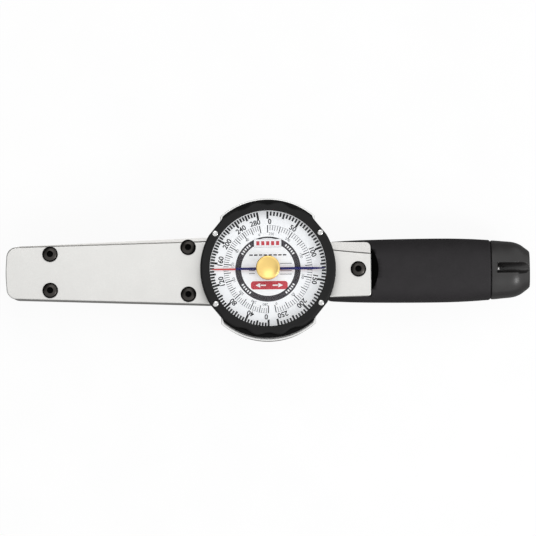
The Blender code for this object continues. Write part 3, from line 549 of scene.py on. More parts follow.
def loft(name, sections, material=None):
    """A closed skin through sections that have the same number of points."""
    work = bmesh.new()
    rings = [[work.verts.new(point) for point in section] for section in sections]
    for first, second in zip(rings, rings[1:]):
        bridge(work, first, second)
    work.faces.new(rings[0])
    work.faces.new(list(reversed(rings[-1])))
    bmesh.ops.recalc_face_normals(work, faces=work.faces)
    return link(name, mesh_from(name, work), material)


def layers(outline_at, levels):
    """Flat sections of a loft: the outline at each inset, at its height."""
    return [[(x, y, z) for x, y in outline_at(inset)] for inset, z in levels]


def spread(first, last, steps):
    """Even steps from the first value to the last, with both."""
    return [first + (last - first) * k / steps for k in range(steps + 1)]


def top_rounding(radius, top, steps):
    """Insets and heights of a rounded upper edge."""
    return [
        (radius * (1 - cos(turn)), top - radius * (1 - sin(turn)))
        for turn in spread(0, radians(90), steps)
    ]


def cut(piece, tools, operation="DIFFERENCE"):
    """Applies exact booleans with the tools, then removes the tools."""
    for tool in tools:
        change = piece.modifiers.new(tool.name, "BOOLEAN")
        change.operation = operation
        change.solver = "EXACT"
        change.object = tool
    apply_modifiers(piece)
    for tool in tools:
        mesh = tool.data
        bpy.data.objects.remove(tool, do_unlink=True)
        bpy.data.meshes.remove(mesh)


def place(piece, body, node=None):
    """Rides a piece on its body and hides the CAD node it stands for, if one is given."""
    piece.data.transform(Matrix.Translation((0, 0, LIFT)))
    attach(piece, body)
    if node:
        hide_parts(node)


def carve(piece, tools, body, node, degrees=30.0, shade_mask=None):
    """Cuts the piece, welds what the booleans leave behind, marks painted shade where a mask is
    given, then shades and places it.
    """
    cut(piece, tools)
    work = bmesh.new()
    work.from_mesh(piece.data)
    bmesh.ops.remove_doubles(work, verts=work.verts, dist=0.0005 * MM)
    bmesh.ops.dissolve_degenerate(work, edges=work.edges, dist=0.0005 * MM)
    work.to_mesh(piece.data)
    work.free()
    if shade_mask:
        shade_points(piece, shade_mask)
    place(smooth(piece, degrees), body, node)


# ---- outlines

def heading(start, end):
    """The direction from one point to another, as an angle."""
    return math.atan2(end[1] - start[1], end[0] - start[0])


def rounded(corners, steps=14):
    """An outline whose corners are (x, y, radius); radius 0 leaves a corner sharp."""
    outline = []
    for i, (x, y, radius) in enumerate(corners):
        if radius == 0:
            outline.append((x, y))
            continue
        before = corners[i - 1]
        after = corners[(i + 1) % len(corners)]
        to_before = heading((x, y), before)
        to_after = heading((x, y), after)
        opening = (to_before - to_after) % (2 * pi)
        convex = opening < pi
        half = (opening if convex else 2 * pi - opening) / 2
        along = radius / math.tan(half)
        bisector = to_after + half if convex else to_after - half
        centre = polar(radius / sin(half), bisector, x, y)
        start = polar(along, to_before, x, y)
        end = polar(along, to_after, x, y)
        first = heading(centre, start)
        sweep = (heading(centre, end) - first + pi) % (2 * pi) - pi
        for k in range(steps + 1):
            outline.append(polar(radius, first + sweep * k / steps, *centre))
    return outline


def half_width(x):
    """Half the case's width at x, away from the drum."""
    if x < DIAL_X:
        start, end = TIP_X, DRUM_START
        low, high = HALF_AT_TIP, HALF_AT_DRUM
    else:
        start, end = DRUM_END, REAR_X
        low, high = HALF_BEHIND_DRUM, HALF_AT_REAR
    return low + (high - low) * (x - start) / (end - start)


def drum_side(side, inset, steps=48):
    """The round side of the drum, from the head end to the handle end."""
    radius = DRUM_R - inset
    reach = DRUM_HALF_WIDTH - inset
    angles = spread(math.acos(-reach / radius), math.acos(reach / radius), steps)
    return [(*polar(radius, side * a, DIAL_X), 0) for a in angles]


def lip_width(x):
    """How far the folded lip on the +Y side covers the face, at x."""
    if x < DIAL_X:
        return max(0.0, 0.3 * MM + (x + 5 * MM) * 0.0185)
    return 4.0 * MM + (x - 150 * MM) * 0.08


def case_outline(inset=0.0, rear=REAR_X, lip=lambda x: 0.0, corner=REAR_CORNER):
    """The case's outline, moved inwards by the inset and, on +Y, by the lip's width."""
    drum_start = DRUM_START + inset
    drum_end = DRUM_END - inset
    before_drum = half_width(drum_start - inset) - inset
    behind_drum = half_width(drum_end + inset) - inset
    shoulder = TIP_X + 0.9 * MM + inset
    tip_half = half_width(TIP_X) - inset
    rear_half = half_width(rear) - inset
    return rounded([
        (TIP_X + inset, 0.0, 60 * MM),
        (shoulder, -tip_half, 5 * MM),
        (drum_start, -before_drum, 0),
        *drum_side(-1, inset),
        (drum_end, -behind_drum, 0),
        (rear - inset, -rear_half, 1.5 * MM),
        (rear - inset, rear_half - lip(rear), corner),
        (drum_end, behind_drum - lip(drum_end), 0),
        *reversed(drum_side(1, inset)),
        (drum_start, before_drum - lip(drum_start), 0),
        (shoulder, tip_half - lip(shoulder), 5 * MM),
    ])


# Finger scallops: degrees from one to the next, and how many of them from the top.
SCALLOP_PITCH = 21.5
SCALLOPS = 1.5


def dial_outline(rim, body, bite=0.0, steps=120):
    """A ring's outer outline: round sides, flats by the screws, rims to +Y and -Y.

    A bite above zero cuts finger scallops into both rims.
    """
    quarter = [(radians(a * 1.5), body) for a in range(0, 21)]
    quarter.append((radians(47), body - 0.15 * MM))
    quarter.append((radians(48.6), body + 0.35 * MM))
    for k in range(steps + 1):
        angle = radians(50) + radians(40) * k / steps
        from_top = math.degrees(pi / 2 - angle)
        wave = 0.5 + 0.5 * cos(2 * pi * from_top / SCALLOP_PITCH)
        depth = bite * wave if from_top < SCALLOPS * SCALLOP_PITCH else 0.0
        quarter.append((angle, rim - depth))
    points = [polar(r, a) for a, r in quarter]
    upper = points + [(-x, y) for x, y in reversed(points)][1:]
    lower = [(x, -y) for x, y in reversed(upper)]
    return [(x + DIAL_X, y) for x, y in upper + lower[1:-1]]


def dial_body(name, rim, body, bite, low, high, top_round, material):
    """A dial ring's solid, with a large rounding along its upper outer edge."""
    levels = [(0.2 * MM, low), (0.0, low + 0.2 * MM)] + top_rounding(top_round, high, 8)
    sections = layers(lambda inset: dial_outline(rim - inset, body - inset, bite), levels)
    return loft(name, sections, material)


def hex_key(radius, turn, x, y, low, high):
    """A hexagonal tool that cuts a screw's socket."""
    corners = [polar(radius, radians(60 * k + turn), x, y) for k in range(6)]
    return slab("key", [corners], low, high)


# ---- case and cover

def build_case():
    """The plated case with its rounded back edge, lip, posts and bores."""
    back_round = 1.0 * MM
    levels = [
        (DRAFT + back_round * (1 - sin(turn)), back_round * (1 - cos(turn)))
        for turn in spread(0, radians(90), 5)
    ]
    levels += [(0.01 * MM, WALL_TOP - 0.12 * MM), (0.04 * MM, WALL_TOP - 0.03 * MM)]
    levels.append((0.12 * MM, WALL_TOP))
    case = loft("case", layers(case_outline, levels), NICKEL)
    inside = case_outline(WALL, REAR_X + 8 * MM)
    cut(case, [slab("pocket", [inside], FLOOR, WALL_TOP + MM)])
    step = 0.1 * MM
    overlap = 0.15 * MM
    additions = []
    spans = ((-7 * MM, DRUM_START, 0), (DRUM_END, REAR_X - step, REAR_CORNER))
    for start, end, corner in spans:
        strip = [
            (start, half_width(start) - lip_width(start) + overlap, 0),
            (end, half_width(end) - lip_width(end) + overlap, 0),
            (end, half_width(end) - step, corner),
            (start, half_width(start) - step, 0),
        ]
        low = WALL_TOP - 0.5 * MM
        additions.append(slab("lip", [rounded(strip)], low, LIP_TOP, None, 0.15 * MM, 2))
    post_top = WALL_TOP - 0.01 * MM
    for i, x, y in numbered("cover_screw", 4):
        additions.append(peg(3.6 * MM, MM, post_top, (x, y, 0)))
    additions.append(peg(11 * MM, MM, 7 * MM, HUB_SPOT, 96))
    cut(case, additions, "UNION")
    bores = [(9.28, -1, 9, 0, 0)]
    for bolt, dowel in zip(numbered("anchor_bolt", 2), numbered("handle_dowel", 2)):
        bores += [(3.6, -1, 1.2, *bolt[1:]), (2.12, -1, 4, *bolt[1:]), (2.56, -1, 4, *dowel[1:])]
    bores += [(2.16, 6, 25, x, y) for i, x, y in numbered("cover_screw", 4)]
    tools = [
        peg(radius * MM, low * MM, high * MM, (x, y, 0), 64) for radius, low, high, x, y in bores
    ]
    carve(case, tools, "housing", "case_body")


def build_cover():
    """The grained face plate, with a fine bright edge."""
    seam = 0.2 * MM
    edge = 0.5 * MM

    def outline(inset):
        return case_outline(inset, REAR_X, lambda x: lip_width(x) + seam, 0.3 * MM)

    levels = [(0.0, cover_low.z)] + top_rounding(edge, FACE_Z, 6)
    cover = loft("cover", layers(outline, levels), NICKEL_FACE)
    holes = [(2.2 * MM, x, y) for i, x, y in numbered("cover_screw", 5)]
    holes.append((3.2 * MM, DIAL_X, 0))
    tools = [peg(radius, 0, 30 * MM, (x, y, 0), 40) for radius, x, y in holes]
    carve(cover, tools, "housing", "cover_plate")


def build_cover_screws():
    """Black button heads, domed, with a hexagon socket."""
    dome_r = 3.95 * MM
    dome_high = 1.95 * MM
    rim_high = 0.55 * MM
    dome_turn = radians(78)
    profile = [(0.0, dome_high)]
    for k in range(1, 13):
        turn = dome_turn * k / 12
        drop = (1 - cos(turn)) / (1 - cos(dome_turn))
        radius = dome_r * sin(turn) / sin(dome_turn)
        profile.append((radius, dome_high - drop * (dome_high - rim_high)))
    profile += [(dome_r, 0.12 * MM), (dome_r - 0.1 * MM, 0.03 * MM)]
    profile += in_mm((2.1, 0.03), (2.1, -12.4), (0, -12.4))
    mouth = in_mm((0, 3), (2.6, 3), (1.1, 1.25), (0, 1.25))
    for i, x, y in numbered("cover_screw", 5):
        spot = (x, y, FACE_Z)
        screw = lathe(f"button_screw_{i}", profile, spot, SCREW_BLACK, 72)
        key = hex_key(1.62 * MM, 17 * i, x, y, FACE_Z + 0.35 * MM, FACE_Z + 4 * MM)
        # Painted shade: the rim and the socket are marked to go near black.
        carve(
            screw, [key, lathe("mouth", mouth, spot, None, 48)],
            "housing", f"cover_screw_{i}",
            shade_mask=lambda point: point.z < FACE_Z + 1.15 * MM
            or math.hypot(point.x - x, point.y - y) < 1.7 * MM,
        )


# ---- dial assembly

def build_dial_base():
    """The bright flange with rounded rims, and the spigot inside the ring."""
    reach = math.acos(DRUM_HALF_WIDTH / FLANGE_R)
    steps = 90
    side = [reach + (pi - 2 * reach) * k / steps for k in range(steps + 1)]
    outline = [polar(FLANGE_R, a, DIAL_X) for a in side]
    outline += [polar(FLANGE_R, -a, DIAL_X) for a in reversed(side)]
    base = slab("dial_flange", [outline], flange_low.z, 22.5 * MM, NICKEL_RIM, 0.3 * MM, 4)
    spigot = [(0, flange_high.z), (27 * MM, flange_high.z)]
    spigot += in_mm((27, 23.95), (26.2, 23.9), (26.2, 23.15), (27, 23.1), (27, 22), (0, 22))
    cut(base, [lathe("spigot", spigot, DIAL_SPOT)], "UNION")
    screw_way = in_mm((0, 30), (2.05, 30), (2.05, 23.2), (1.25, 23.2), (1.25, 15), (0, 15))
    tools = [peg(3.08 * MM, 15 * MM, 30 * MM, DIAL_SPOT)]
    for i, x, y in numbered("base_screw", 3):
        tools.append(lathe("screw_way", screw_way, (x, y, 0), None, 40))
    carve(base, tools, "housing", "dial_base")


SHANK_R = 0.95 * MM


def build_zero_ring():
    """The black ring under the bezel, hollowed for the dial and the crystal's gasket."""
    ring = dial_body(
        "finger_ring", RING_R, BEZEL_R, 0.0, ring_low.z, ring_high.z, 0.5 * MM, RING_BLACK
    )
    bore = in_mm(
        (0, 32), (30.8, 32), (30.8, 24.55), (27.3, 24.55), (27.3, 24.05), (28.2, 24),
        (28.2, 23.05), (27.3, 23), (27.3, 20), (0, 20),
    )
    tools = [lathe("bore", bore, DIAL_SPOT, None, 128)]
    for i, x, y in numbered("bezel_screw", 4):
        tools.append(peg(SHANK_R, 24.9 * MM, 33 * MM, (x, y, 0), 32))
    carve(ring, tools, "dial_ring", "zero_ring")


def build_bezel():
    """The charcoal bezel with finger scallops, a sloped window edge and its four screws."""
    bezel = dial_body(
        "bezel_cover", BEZEL_R - 0.2 * MM, BEZEL_R - 0.1 * MM, 1.4 * MM,
        bezel_low.z, bezel_high.z, 1.2 * MM, BEZEL_BLACK,
    )
    window = in_mm((0, 33), (31.4, 33), (29.75, 30.75))
    window += [(WINDOW_R, 30.4 * MM), (WINDOW_R, 29.75 * MM)]
    window += in_mm((30.8, 29.75), (30.8, 26), (0, 26))
    seat_z = 30.1 * MM
    seat = in_mm((0, 33), (1.9, 33), (1.72, 30.7)) + [(1.7 * MM, seat_z), (SHANK_R, seat_z)]
    seat += [(SHANK_R, 26 * MM), (0, 26 * MM)]
    tools = [lathe("window", window, DIAL_SPOT, None, 160)]
    for i, x, y in numbered("bezel_screw", 4):
        tools.append(lathe("seat", seat, (x, y, 0), None, 48))
    carve(bezel, tools, "dial_ring", "bezel")
    profile = in_mm(
        (0, 0.78), (0.7, 0.76), (1.2, 0.68), (1.5, 0.5), (1.6, 0.3), (1.6, 0.03),
        (0.9, 0.02), (0.9, -5), (0, -5),
    )
    for i, x, y in numbered("bezel_screw", 4):
        screw = lathe(f"bright_screw_{i}", profile, (x, y, seat_z), BRIGHT_STEEL, 48)
        key = hex_key(0.62 * MM, 25 * i, x, y, seat_z + 0.35 * MM, seat_z + 2 * MM)
        carve(screw, [key], "dial_ring", f"bezel_screw_{i}")


def dial_disc(name, node, inner, material, edge=0.0, outer=None):
    """A flat turned ring of the dial, with its heights and usually its radius from the CAD."""
    low, high = box(node)
    outer = outer or (high.x - low.x) / 2
    profile = [(outer, high.z), (outer, low.z), (inner, low.z), (inner, high.z)]
    place(lathe(name, profile, DIAL_SPOT, material, 128, edge), "dial_ring", node)


def build_crystal():
    """The clear crystal and the rubber gasket under its rim."""
    dial_disc("clear_crystal", "crystal", 1.5 * MM, CLEAR, 0.15 * MM)
    dial_disc(
        "rim_gasket", "crystal_gasket", 29.6 * MM, SEAL_RUBBER, 0.1 * MM,
        30.5 * MM,
    )


# ---- the dial's print

INK_HIGH = 0.02 * MM


def dial_angle(degrees):
    """The angle of a mark that stands so many degrees clockwise of the dial's top."""
    return radians(90 - degrees)


def printed(name, work, material):
    """Places what a bmesh holds on the dial, as print."""
    place(link(name, mesh_from(name, work), material), "dial_ring")


def ticks(name, marks, material):
    """Radial marks on the dial: (degrees clockwise of the top, inner, outer, width)."""
    work = bmesh.new()
    for degrees, inner, outer, width in marks:
        along = Vector((*polar(1, dial_angle(degrees)), 0))
        across = Vector((-along.y, along.x, 0)) * width / 2
        ends = ((inner, -1), (outer, -1), (outer, 1), (inner, 1))
        corners = [along * reach + across * side for reach, side in ends]
        bottom, top = [
            [work.verts.new((DIAL_X + c.x, c.y, z)) for c in corners]
            for z in (DIAL_TOP, DIAL_TOP + INK_HIGH)
        ]
        work.faces.new(list(reversed(bottom)))
        work.faces.new(top)
        bridge(work, bottom, top)
    printed(name, work, material)


def numbers(name, labels, radius, size, material, bold):
    """Numbers round the dial. Labels: (value, degrees clockwise of the top)."""
    work = bmesh.new()
    for value, degrees in labels:
        curve = bpy.data.curves.new(name, "FONT")
        curve.body = str(value)
        curve.size = size
        curve.extrude = INK_HIGH / 2
        curve.align_x = "CENTER"
        curve.align_y = "CENTER"
        curve.resolution_u = 4
        curve.offset = bold
        mesh = curve_mesh(name, curve)
        turn = Matrix.Rotation(-radians(degrees), 4, "Z")
        x, y = polar(radius, dial_angle(degrees), DIAL_X)
        mesh.transform(Matrix.Translation((x, y, DIAL_TOP + INK_HIGH / 2)) @ turn)
        work.from_mesh(mesh)
        bpy.data.meshes.remove(mesh)
    bmesh.ops.remove_doubles(work, verts=work.verts, dist=0.0002 * MM)
    bmesh.ops.recalc_face_normals(work, faces=work.faces)
    printed(name, work, material)


def arc_band(inner, outer, start, end, steps=40):
    """An outline of part of a ring, between two angles clockwise of the dial's top."""
    angles = [dial_angle(degrees) for degrees in spread(start, end, steps)]
    outline = [polar(outer, a, DIAL_X) for a in angles]
    outline += [polar(inner, a, DIAL_X) for a in reversed(angles)]
    return outline


def ink_shapes(name, outlines, material, lift=0.0):
    """Flat printed shapes, each with no hole, as one piece."""
    work = bmesh.new()
    low = DIAL_TOP + lift
    for outline in outlines:
        mesh = slab_mesh(name, [outline], low, low + INK_HIGH)
        work.from_mesh(mesh)
        bpy.data.meshes.remove(mesh)
    printed(name, work, material)


# Each side's scale: full value, start and span in degrees, steps of numbered and middle marks.
RIGHT_SPAN = 170.0
LEFT_START = 180.0
LEFT_SPAN = 169.5
SCALES = ((250, 0.0, RIGHT_SPAN, 50, 25), (280, LEFT_START, LEFT_SPAN, 40, 20))

# Ends and widths of the marks: numbered, middle and fine.
OUTER_EDGE = 29.45 * MM
OUTER_MARKS = in_mm((25.7, 1.05), (26.6, 0.98), (27.3, 0.9))
INNER_EDGE = 22.4 * MM
INNER_MARKS = in_mm((18.6, 0.48), (18.9, 0.4), (19.9, 0.32))

# Where the outer scales' numbers stand, in degrees clockwise of the dial's top.
OUTER_NUMBERS = [
    (0, 2.6), (50, 31.9), (100, 69.1), (150, 102.6), (200, 136.1), (250, 162.6), (0, 182.7),
    (40, 202.1), (80, 226.9), (120, 255.1), (160, 279.5), (200, 302.3), (240, 326.3), (280, 345.0),
]

# How far the inner scales' end numbers stand from their marks, in degrees.
ZERO_SHIFT = -3.0
FULL_SHIFTS = {250: 6.0, 280: 5.0}


def scale_marks(edge, marks, outward):
    """The marks of both scales: numbered, middle and fine ones apart."""
    kinds = ([], [], [])
    for full, start, span, numbered_step, middle_step in SCALES:
        for value in range(0, full + 1, 5):
            share = value / full if outward else 1 - value / full
            kind = 0 if value % numbered_step == 0 else 1 if value % middle_step == 0 else 2
            inner, width = marks[kind]
            kinds[kind].append((start + span * share, inner, edge, width))
    return kinds


def inner_numbers():
    """The numbers of the inner scales, which run the other way round."""
    labels = []
    for full, start, span, numbered_step, _ in SCALES:
        for value in range(0, full + 1, numbered_step):
            degrees = start + span * (1 - value / full)
            degrees += {0: ZERO_SHIFT, full: FULL_SHIFTS[full]}.get(value, 0.0)
            labels.append((value, degrees))
    return labels


def bar(x, y, length, high):
    """A printed bar about a point on the dial, in millimetres, as an outline."""
    corners = [(-length, -high), (length, -high), (length, high), (-length, high)]
    return [(DIAL_X + (x + u / 2) * MM, (y + v / 2) * MM) for u, v in corners]


def panel(left, right, low, high, corner):
    """A printed panel with rounded corners, in millimetres, as an outline."""
    corners = [(left, low), (right, low), (right, high), (left, high)]
    return rounded([(DIAL_X + x * MM, y * MM, corner * MM) for x, y in corners], 6)


def build_dial():
    """The white dial with its scales."""
    dial_disc("dial_face", "dial_plate", 3.4 * MM, DIAL_WHITE)
    longest, halfway, fine = scale_marks(OUTER_EDGE, OUTER_MARKS, True)
    ticks("outer_scale_marks", longest + halfway + fine, INK_BLACK)
    longest, halfway, fine = scale_marks(INNER_EDGE, INNER_MARKS, False)
    ticks("inner_scale_numbered_marks", longest + halfway, INK_BLACK)
    ticks("inner_scale_fine_marks", fine, INK_GREY)
    numbers("outer_scale_numbers", OUTER_NUMBERS, 24.2 * MM, 3.6 * MM, INK_BLACK, 0.09 * MM)
    numbers("inner_scale_numbers", inner_numbers(), 18.0 * MM, 1.9 * MM, INK_GREY, 0.01 * MM)
    arcs = [
        arc_band(INNER_EDGE, INNER_EDGE + 0.1 * MM, start, start + span, 80)
        for full, start, span, _, _ in SCALES
    ]
    ink_shapes("inner_scale_circle", arcs, INK_GREY)


def build_dial_middle():
    """The dark band and the plain shapes printed inside it."""
    inner = 13.6 * MM
    outer = 16.6 * MM
    gap = 24.0
    ink_shapes("dark_band", [arc_band(inner, outer, gap, 360 - gap, 160)], INK_CHARCOAL)
    ink_shapes("dark_band_top", [arc_band(outer - 0.75 * MM, outer, -gap, gap, 24)], INK_BLACK)
    dashes = []
    pitch = 5.2
    length = 2.8
    for centre in (48, 132, 228, 312):
        for k in range(-2, 3):
            start = centre + k * pitch - length / 2
            dashes.append(arc_band(14.5 * MM, 15.7 * MM, start, start + length, 4))
    ink_shapes("band_dashes", dashes, INK_WHITE, 0.012 * MM)
    ink_shapes("range_box_edge", [panel(-7.1, 7.0, 11.1, 15.4, 0.4)], INK_GREY, 0.006 * MM)
    ink_shapes("range_box", [panel(-6.95, 6.85, 11.25, 15.25, 0.3)], INK_WHITE, 0.03 * MM)
    stripes = [bar(x, 13.2, 1.6, 2.1) for x in (-5.0, -2.5, 0, 2.5, 5.0)]
    ink_shapes("range_box_marks", stripes, INK_RED, 0.055 * MM)
    ink_shapes("red_field", [panel(-8.8, 9.9, -10.35, -6.1, 1.5)], INK_RED)
    middle_x = 0.55
    middle_y = -8.25
    arrows = []
    for side in (-1, 1):
        base = middle_x + side * 4.6
        tip = [(middle_x + side * 7.0, middle_y), (base, middle_y - 1.15), (base, middle_y + 1.15)]
        arrows.append([(DIAL_X + x * MM, y * MM) for x, y in tip[::side]])
        arrows.append(bar(middle_x + side * 3.0, middle_y, 2.6, 0.7))
    ink_shapes("turn_arrows", arrows, INK_WHITE, 0.025 * MM)
    lines = [bar(x, 7.2, 1.75, 0.7) for x in (-8.5, -6.1, -3.7, -1.3, 1.3, 3.7, 6.1, 8.5)]
    ink_shapes("dark_lines", lines, INK_CHARCOAL)
    lines = [bar(9.1, y, 6.0, 0.36) for y in (2.85, -0.95, -2.65)]
    lines += [bar(-8.2, y, 3.0, 0.34) for y in (-0.7, -2.25)]
    ink_shapes("fine_lines", lines, INK_GREY)


# ---- pointers

def mirrored(lower):
    """The upper half of an outline, from its lower half."""
    return [(x, -y) for x, y in reversed(lower)]


def hub_arc(radius):
    """The lower side of a needle's hub."""
    return [polar(radius, radians(a)) for a in range(-162, -17, 9)]


def needle(name, outline, hole, node, material):
    """A thin needle with softened edges."""
    low, high = box(node)
    shifted = [(x + DIAL_X, y) for x, y in outline]
    opening = [polar(hole, 2 * pi * k / 40, DIAL_X) for k in range(40)]
    return slab(name, [shifted, opening], low.z, high.z, material, 0.06 * MM, 2)


def build_needles():
    """The red indicator needle below and the navy memory needle above it."""
    low, high = box("indicator_needle")
    reach = DIAL_X - low.x
    lower = [(-reach + 2 * MM, -0.34 * MM)] + in_mm((-17, -0.46), (-14, -0.2), (-2.35, -0.2))
    lower += hub_arc(2.35 * MM) + [(high.x - DIAL_X, -0.14 * MM)]
    outline = [(-reach, 0.0)] + lower + mirrored(lower)
    red = needle("red_needle", outline, 2.12 * MM, "indicator_needle", NEEDLE_RED)
    place(red, "pointer", "indicator_needle")
    low, high = box("memory_needle")
    reach = high.x - DIAL_X
    half = 0.7 * MM
    lower = [(low.x - DIAL_X, -half * 0.8), (-2.42 * MM, -half)] + hub_arc(2.5 * MM)
    lower += [(2.42 * MM, -half), (reach - 7 * MM, -half * 0.9)]
    lower += [(reach - 0.3 * MM, -half * 0.45)]
    outline = lower + [(reach, 0.0)] + mirrored(lower)
    blue = needle("blue_needle", outline, 1.23 * MM, "memory_needle", NEEDLE_BLUE)
    place(blue, "memory", "memory_needle")


def build_knob():
    """The brass memory knob: a flat top, a rounded rim and a finely knurled side."""
    low, high = box("memory_knob")
    radius = (high.x - low.x) / 2
    grooves = 72
    per_groove = 4
    steps = grooves * per_groove
    groove_depth = 0.12 * MM
    bore_r = 1.35 * MM
    bore_top = low.z + 2.2 * MM
    # Millimetres inside the rim, millimetres below the top or above the foot, share of the knurl.
    upper = [
        (1.3, 0.12, 0), (1.1, 0, 0), (0.55, 0, 0), (0.2, 0.12, 0), (0.04, 0.35, 0.3), (0, 0.6, 1),
    ]
    lower = [(0, 0.7, 1), (0.05, 0.4, 0.3), (0.3, 0, 0)]
    profile = [(0.0, high.z - 0.12 * MM, 0)]
    profile += [(radius - inset * MM, high.z - down * MM, share) for inset, down, share in upper]
    profile += [(radius - inset * MM, low.z + up * MM, share) for inset, up, share in lower]
    profile += [(bore_r, low.z, 0), (bore_r, bore_top, 0), (0.0, bore_top, 0)]
    work = bmesh.new()
    rings = []
    for r, z, knurl in profile:
        ring = []
        for k in range(steps if r > 0 else 1):
            phase = (k % per_groove) / per_groove
            depth = groove_depth * knurl * (0.5 - 0.5 * cos(2 * pi * phase))
            ring.append(work.verts.new((*polar(r - depth, 2 * pi * k / steps, DIAL_X), z)))
        rings.append(ring)
    for first, second in zip(rings, rings[1:]):
        bridge(work, first, second)
    bmesh.ops.recalc_face_normals(work, faces=work.faces)
    knob = smooth(link("knurled_knob", mesh_from("knurled_knob", work), BRASS), 40)
    place(knob, "memory", "memory_knob")


# ---- handle

def section(x, half_y, half_z, count=96, power=2.5):
    """One cross-section of the handle, a rounded box across X, from sizes in millimetres."""
    points = []
    for k in range(count):
        c, s = polar(1, 2 * pi * k / count)
        y = half_y * MM * math.copysign(abs(c) ** (2 / power), c)
        z = half_z * MM * math.copysign(abs(s) ** (2 / power), s)
        points.append((x * MM, y, GRIP_Z + z))
    return points


def smooth_sections(shape, per_span=5):
    """Sections through the shape's stations, joined by smooth curves."""
    stations = [Vector(values) for values in shape]
    result = []
    for i in range(len(stations) - 1):
        before = stations[max(i - 1, 0)]
        start = stations[i]
        end = stations[i + 1]
        after = stations[min(i + 2, len(stations) - 1)]
        span = end.x - start.x
        for k in range(per_span):
            t = k / per_span
            values = [start.x + span * t]
            for axis in (1, 2):
                first = (end[axis] - before[axis]) / max(end.x - before.x, 1e-9) * span
                last = (after[axis] - start[axis]) / max(after.x - start.x, 1e-9) * span
                h00 = 2 * t ** 3 - 3 * t ** 2 + 1
                h10 = t ** 3 - 2 * t ** 2 + t
                h01 = -2 * t ** 3 + 3 * t ** 2
                h11 = t ** 3 - t ** 2
                values.append(h00 * start[axis] + h10 * first + h01 * end[axis] + h11 * last)
            result.append(section(*values))
    result.append(section(*stations[-1]))
    return result


# Stations along the handle, in millimetres: x, half the width, half the depth.
GRIP_SHAPE = [
    (150.0, 14.3, 10.5), (151.0, 15.0, 11.3), (155.0, 15.35, 12.0), (163.0, 15.75, 12.6),
    (175.0, 16.05, 13.0), (192.0, 16.25, 13.2), (210.0, 16.25, 13.2), (222.0, 15.9, 13.0),
    (231.0, 15.35, 12.6), (232.3, 15.2, 12.5), (232.9, 14.7, 12.1),
]
CAP_SHAPE = [
    (233.15, 14.6, 12.0), (233.7, 15.0, 12.4), (240.0, 14.5, 12.0), (243.0, 14.25, 11.8),
    (245.3, 13.85, 11.45), (247.2, 13.2, 10.8), (248.8, 12.4, 9.9), (250.7, 11.0, 8.6),
    (252.4, 9.7, 7.5), (253.0, 9.0, 7.0),
]


def build_grip():
    """The rubber grip, hollow for the steel core, let in round the end of the case."""
    grip = loft("rubber_grip", smooth_sections(GRIP_SHAPE), GRIP_RUBBER)
    fit = 0.12 * MM
    scoop_x = 158.8 * MM
    scoop_r = 17 * MM
    scoop_low = 18.5 * MM
    case_space = layers(
        lambda inset: case_outline(inset, REAR_X + 0.15 * MM),
        [(DRAFT - fit, -0.1 * MM), (-fit, WALL_TOP), (-fit, 40 * MM)],
    )
    tools = [
        block("core_space", *in_mm((160, -8.1, 2.1), (240, 8.1, 17.6))),
        loft("case_space", case_space),
        peg(scoop_r, scoop_low, 40 * MM, (scoop_x, 0, 0), 192),
    ]
    # Painted shade: the scoop's floor and the foot of its wall are marked to go near black.
    carve(
        grip, tools, "housing", "grip", 45,
        shade_mask=lambda point: scoop_low - 0.1 * MM < point.z < scoop_low + 2 * MM
        and math.hypot(point.x - scoop_x, point.y) < scoop_r + 0.1 * MM,
    )


def build_end_cap():
    """The moulded end cap with its screw groove, and the small bright screw."""
    cap = loft("moulded_cap", smooth_sections(CAP_SHAPE), CAP_PLASTIC)
    axis_z = middle("end_cap_screw").z
    start = 236.2 * MM
    groove_r = 2.6 * MM
    channel = []
    for x, z in ((start, axis_z), (255 * MM, 19 * MM)):
        under = [polar(groove_r, pi * (1 + k / 32), 0, z) for k in range(33)]
        outline = [(-groove_r, 30 * MM)] + under + [(groove_r, 30 * MM)]
        channel.append([(x, across, height) for across, height in outline])
    shank_hole = peg(1.55 * MM, 0, 10 * MM, (230 * MM, 0, axis_z), axis="X")
    carve(cap, [loft("groove", channel), shank_hole], "housing", "end_cap", 40)
    head = in_mm(
        (0, 1.8), (0.8, 1.78), (1.5, 1.6), (2.1, 1.15), (2.3, 0.6), (2.3, 0.05), (1.5, 0.03),
        (1.5, -15.9), (0, -15.9),
    )
    bolt = lathe("cap_screw", head, (start, 0, axis_z), BRIGHT_STEEL, 48, axis="X")
    slot = block(
        "screwdriver_slot", (start + 1.0 * MM, -0.3 * MM, axis_z - 3 * MM),
        (start + 3 * MM, 0.3 * MM, axis_z + 3 * MM),
    )
    carve(bolt, [slot], "housing", "end_cap_screw")


# ---- drive end

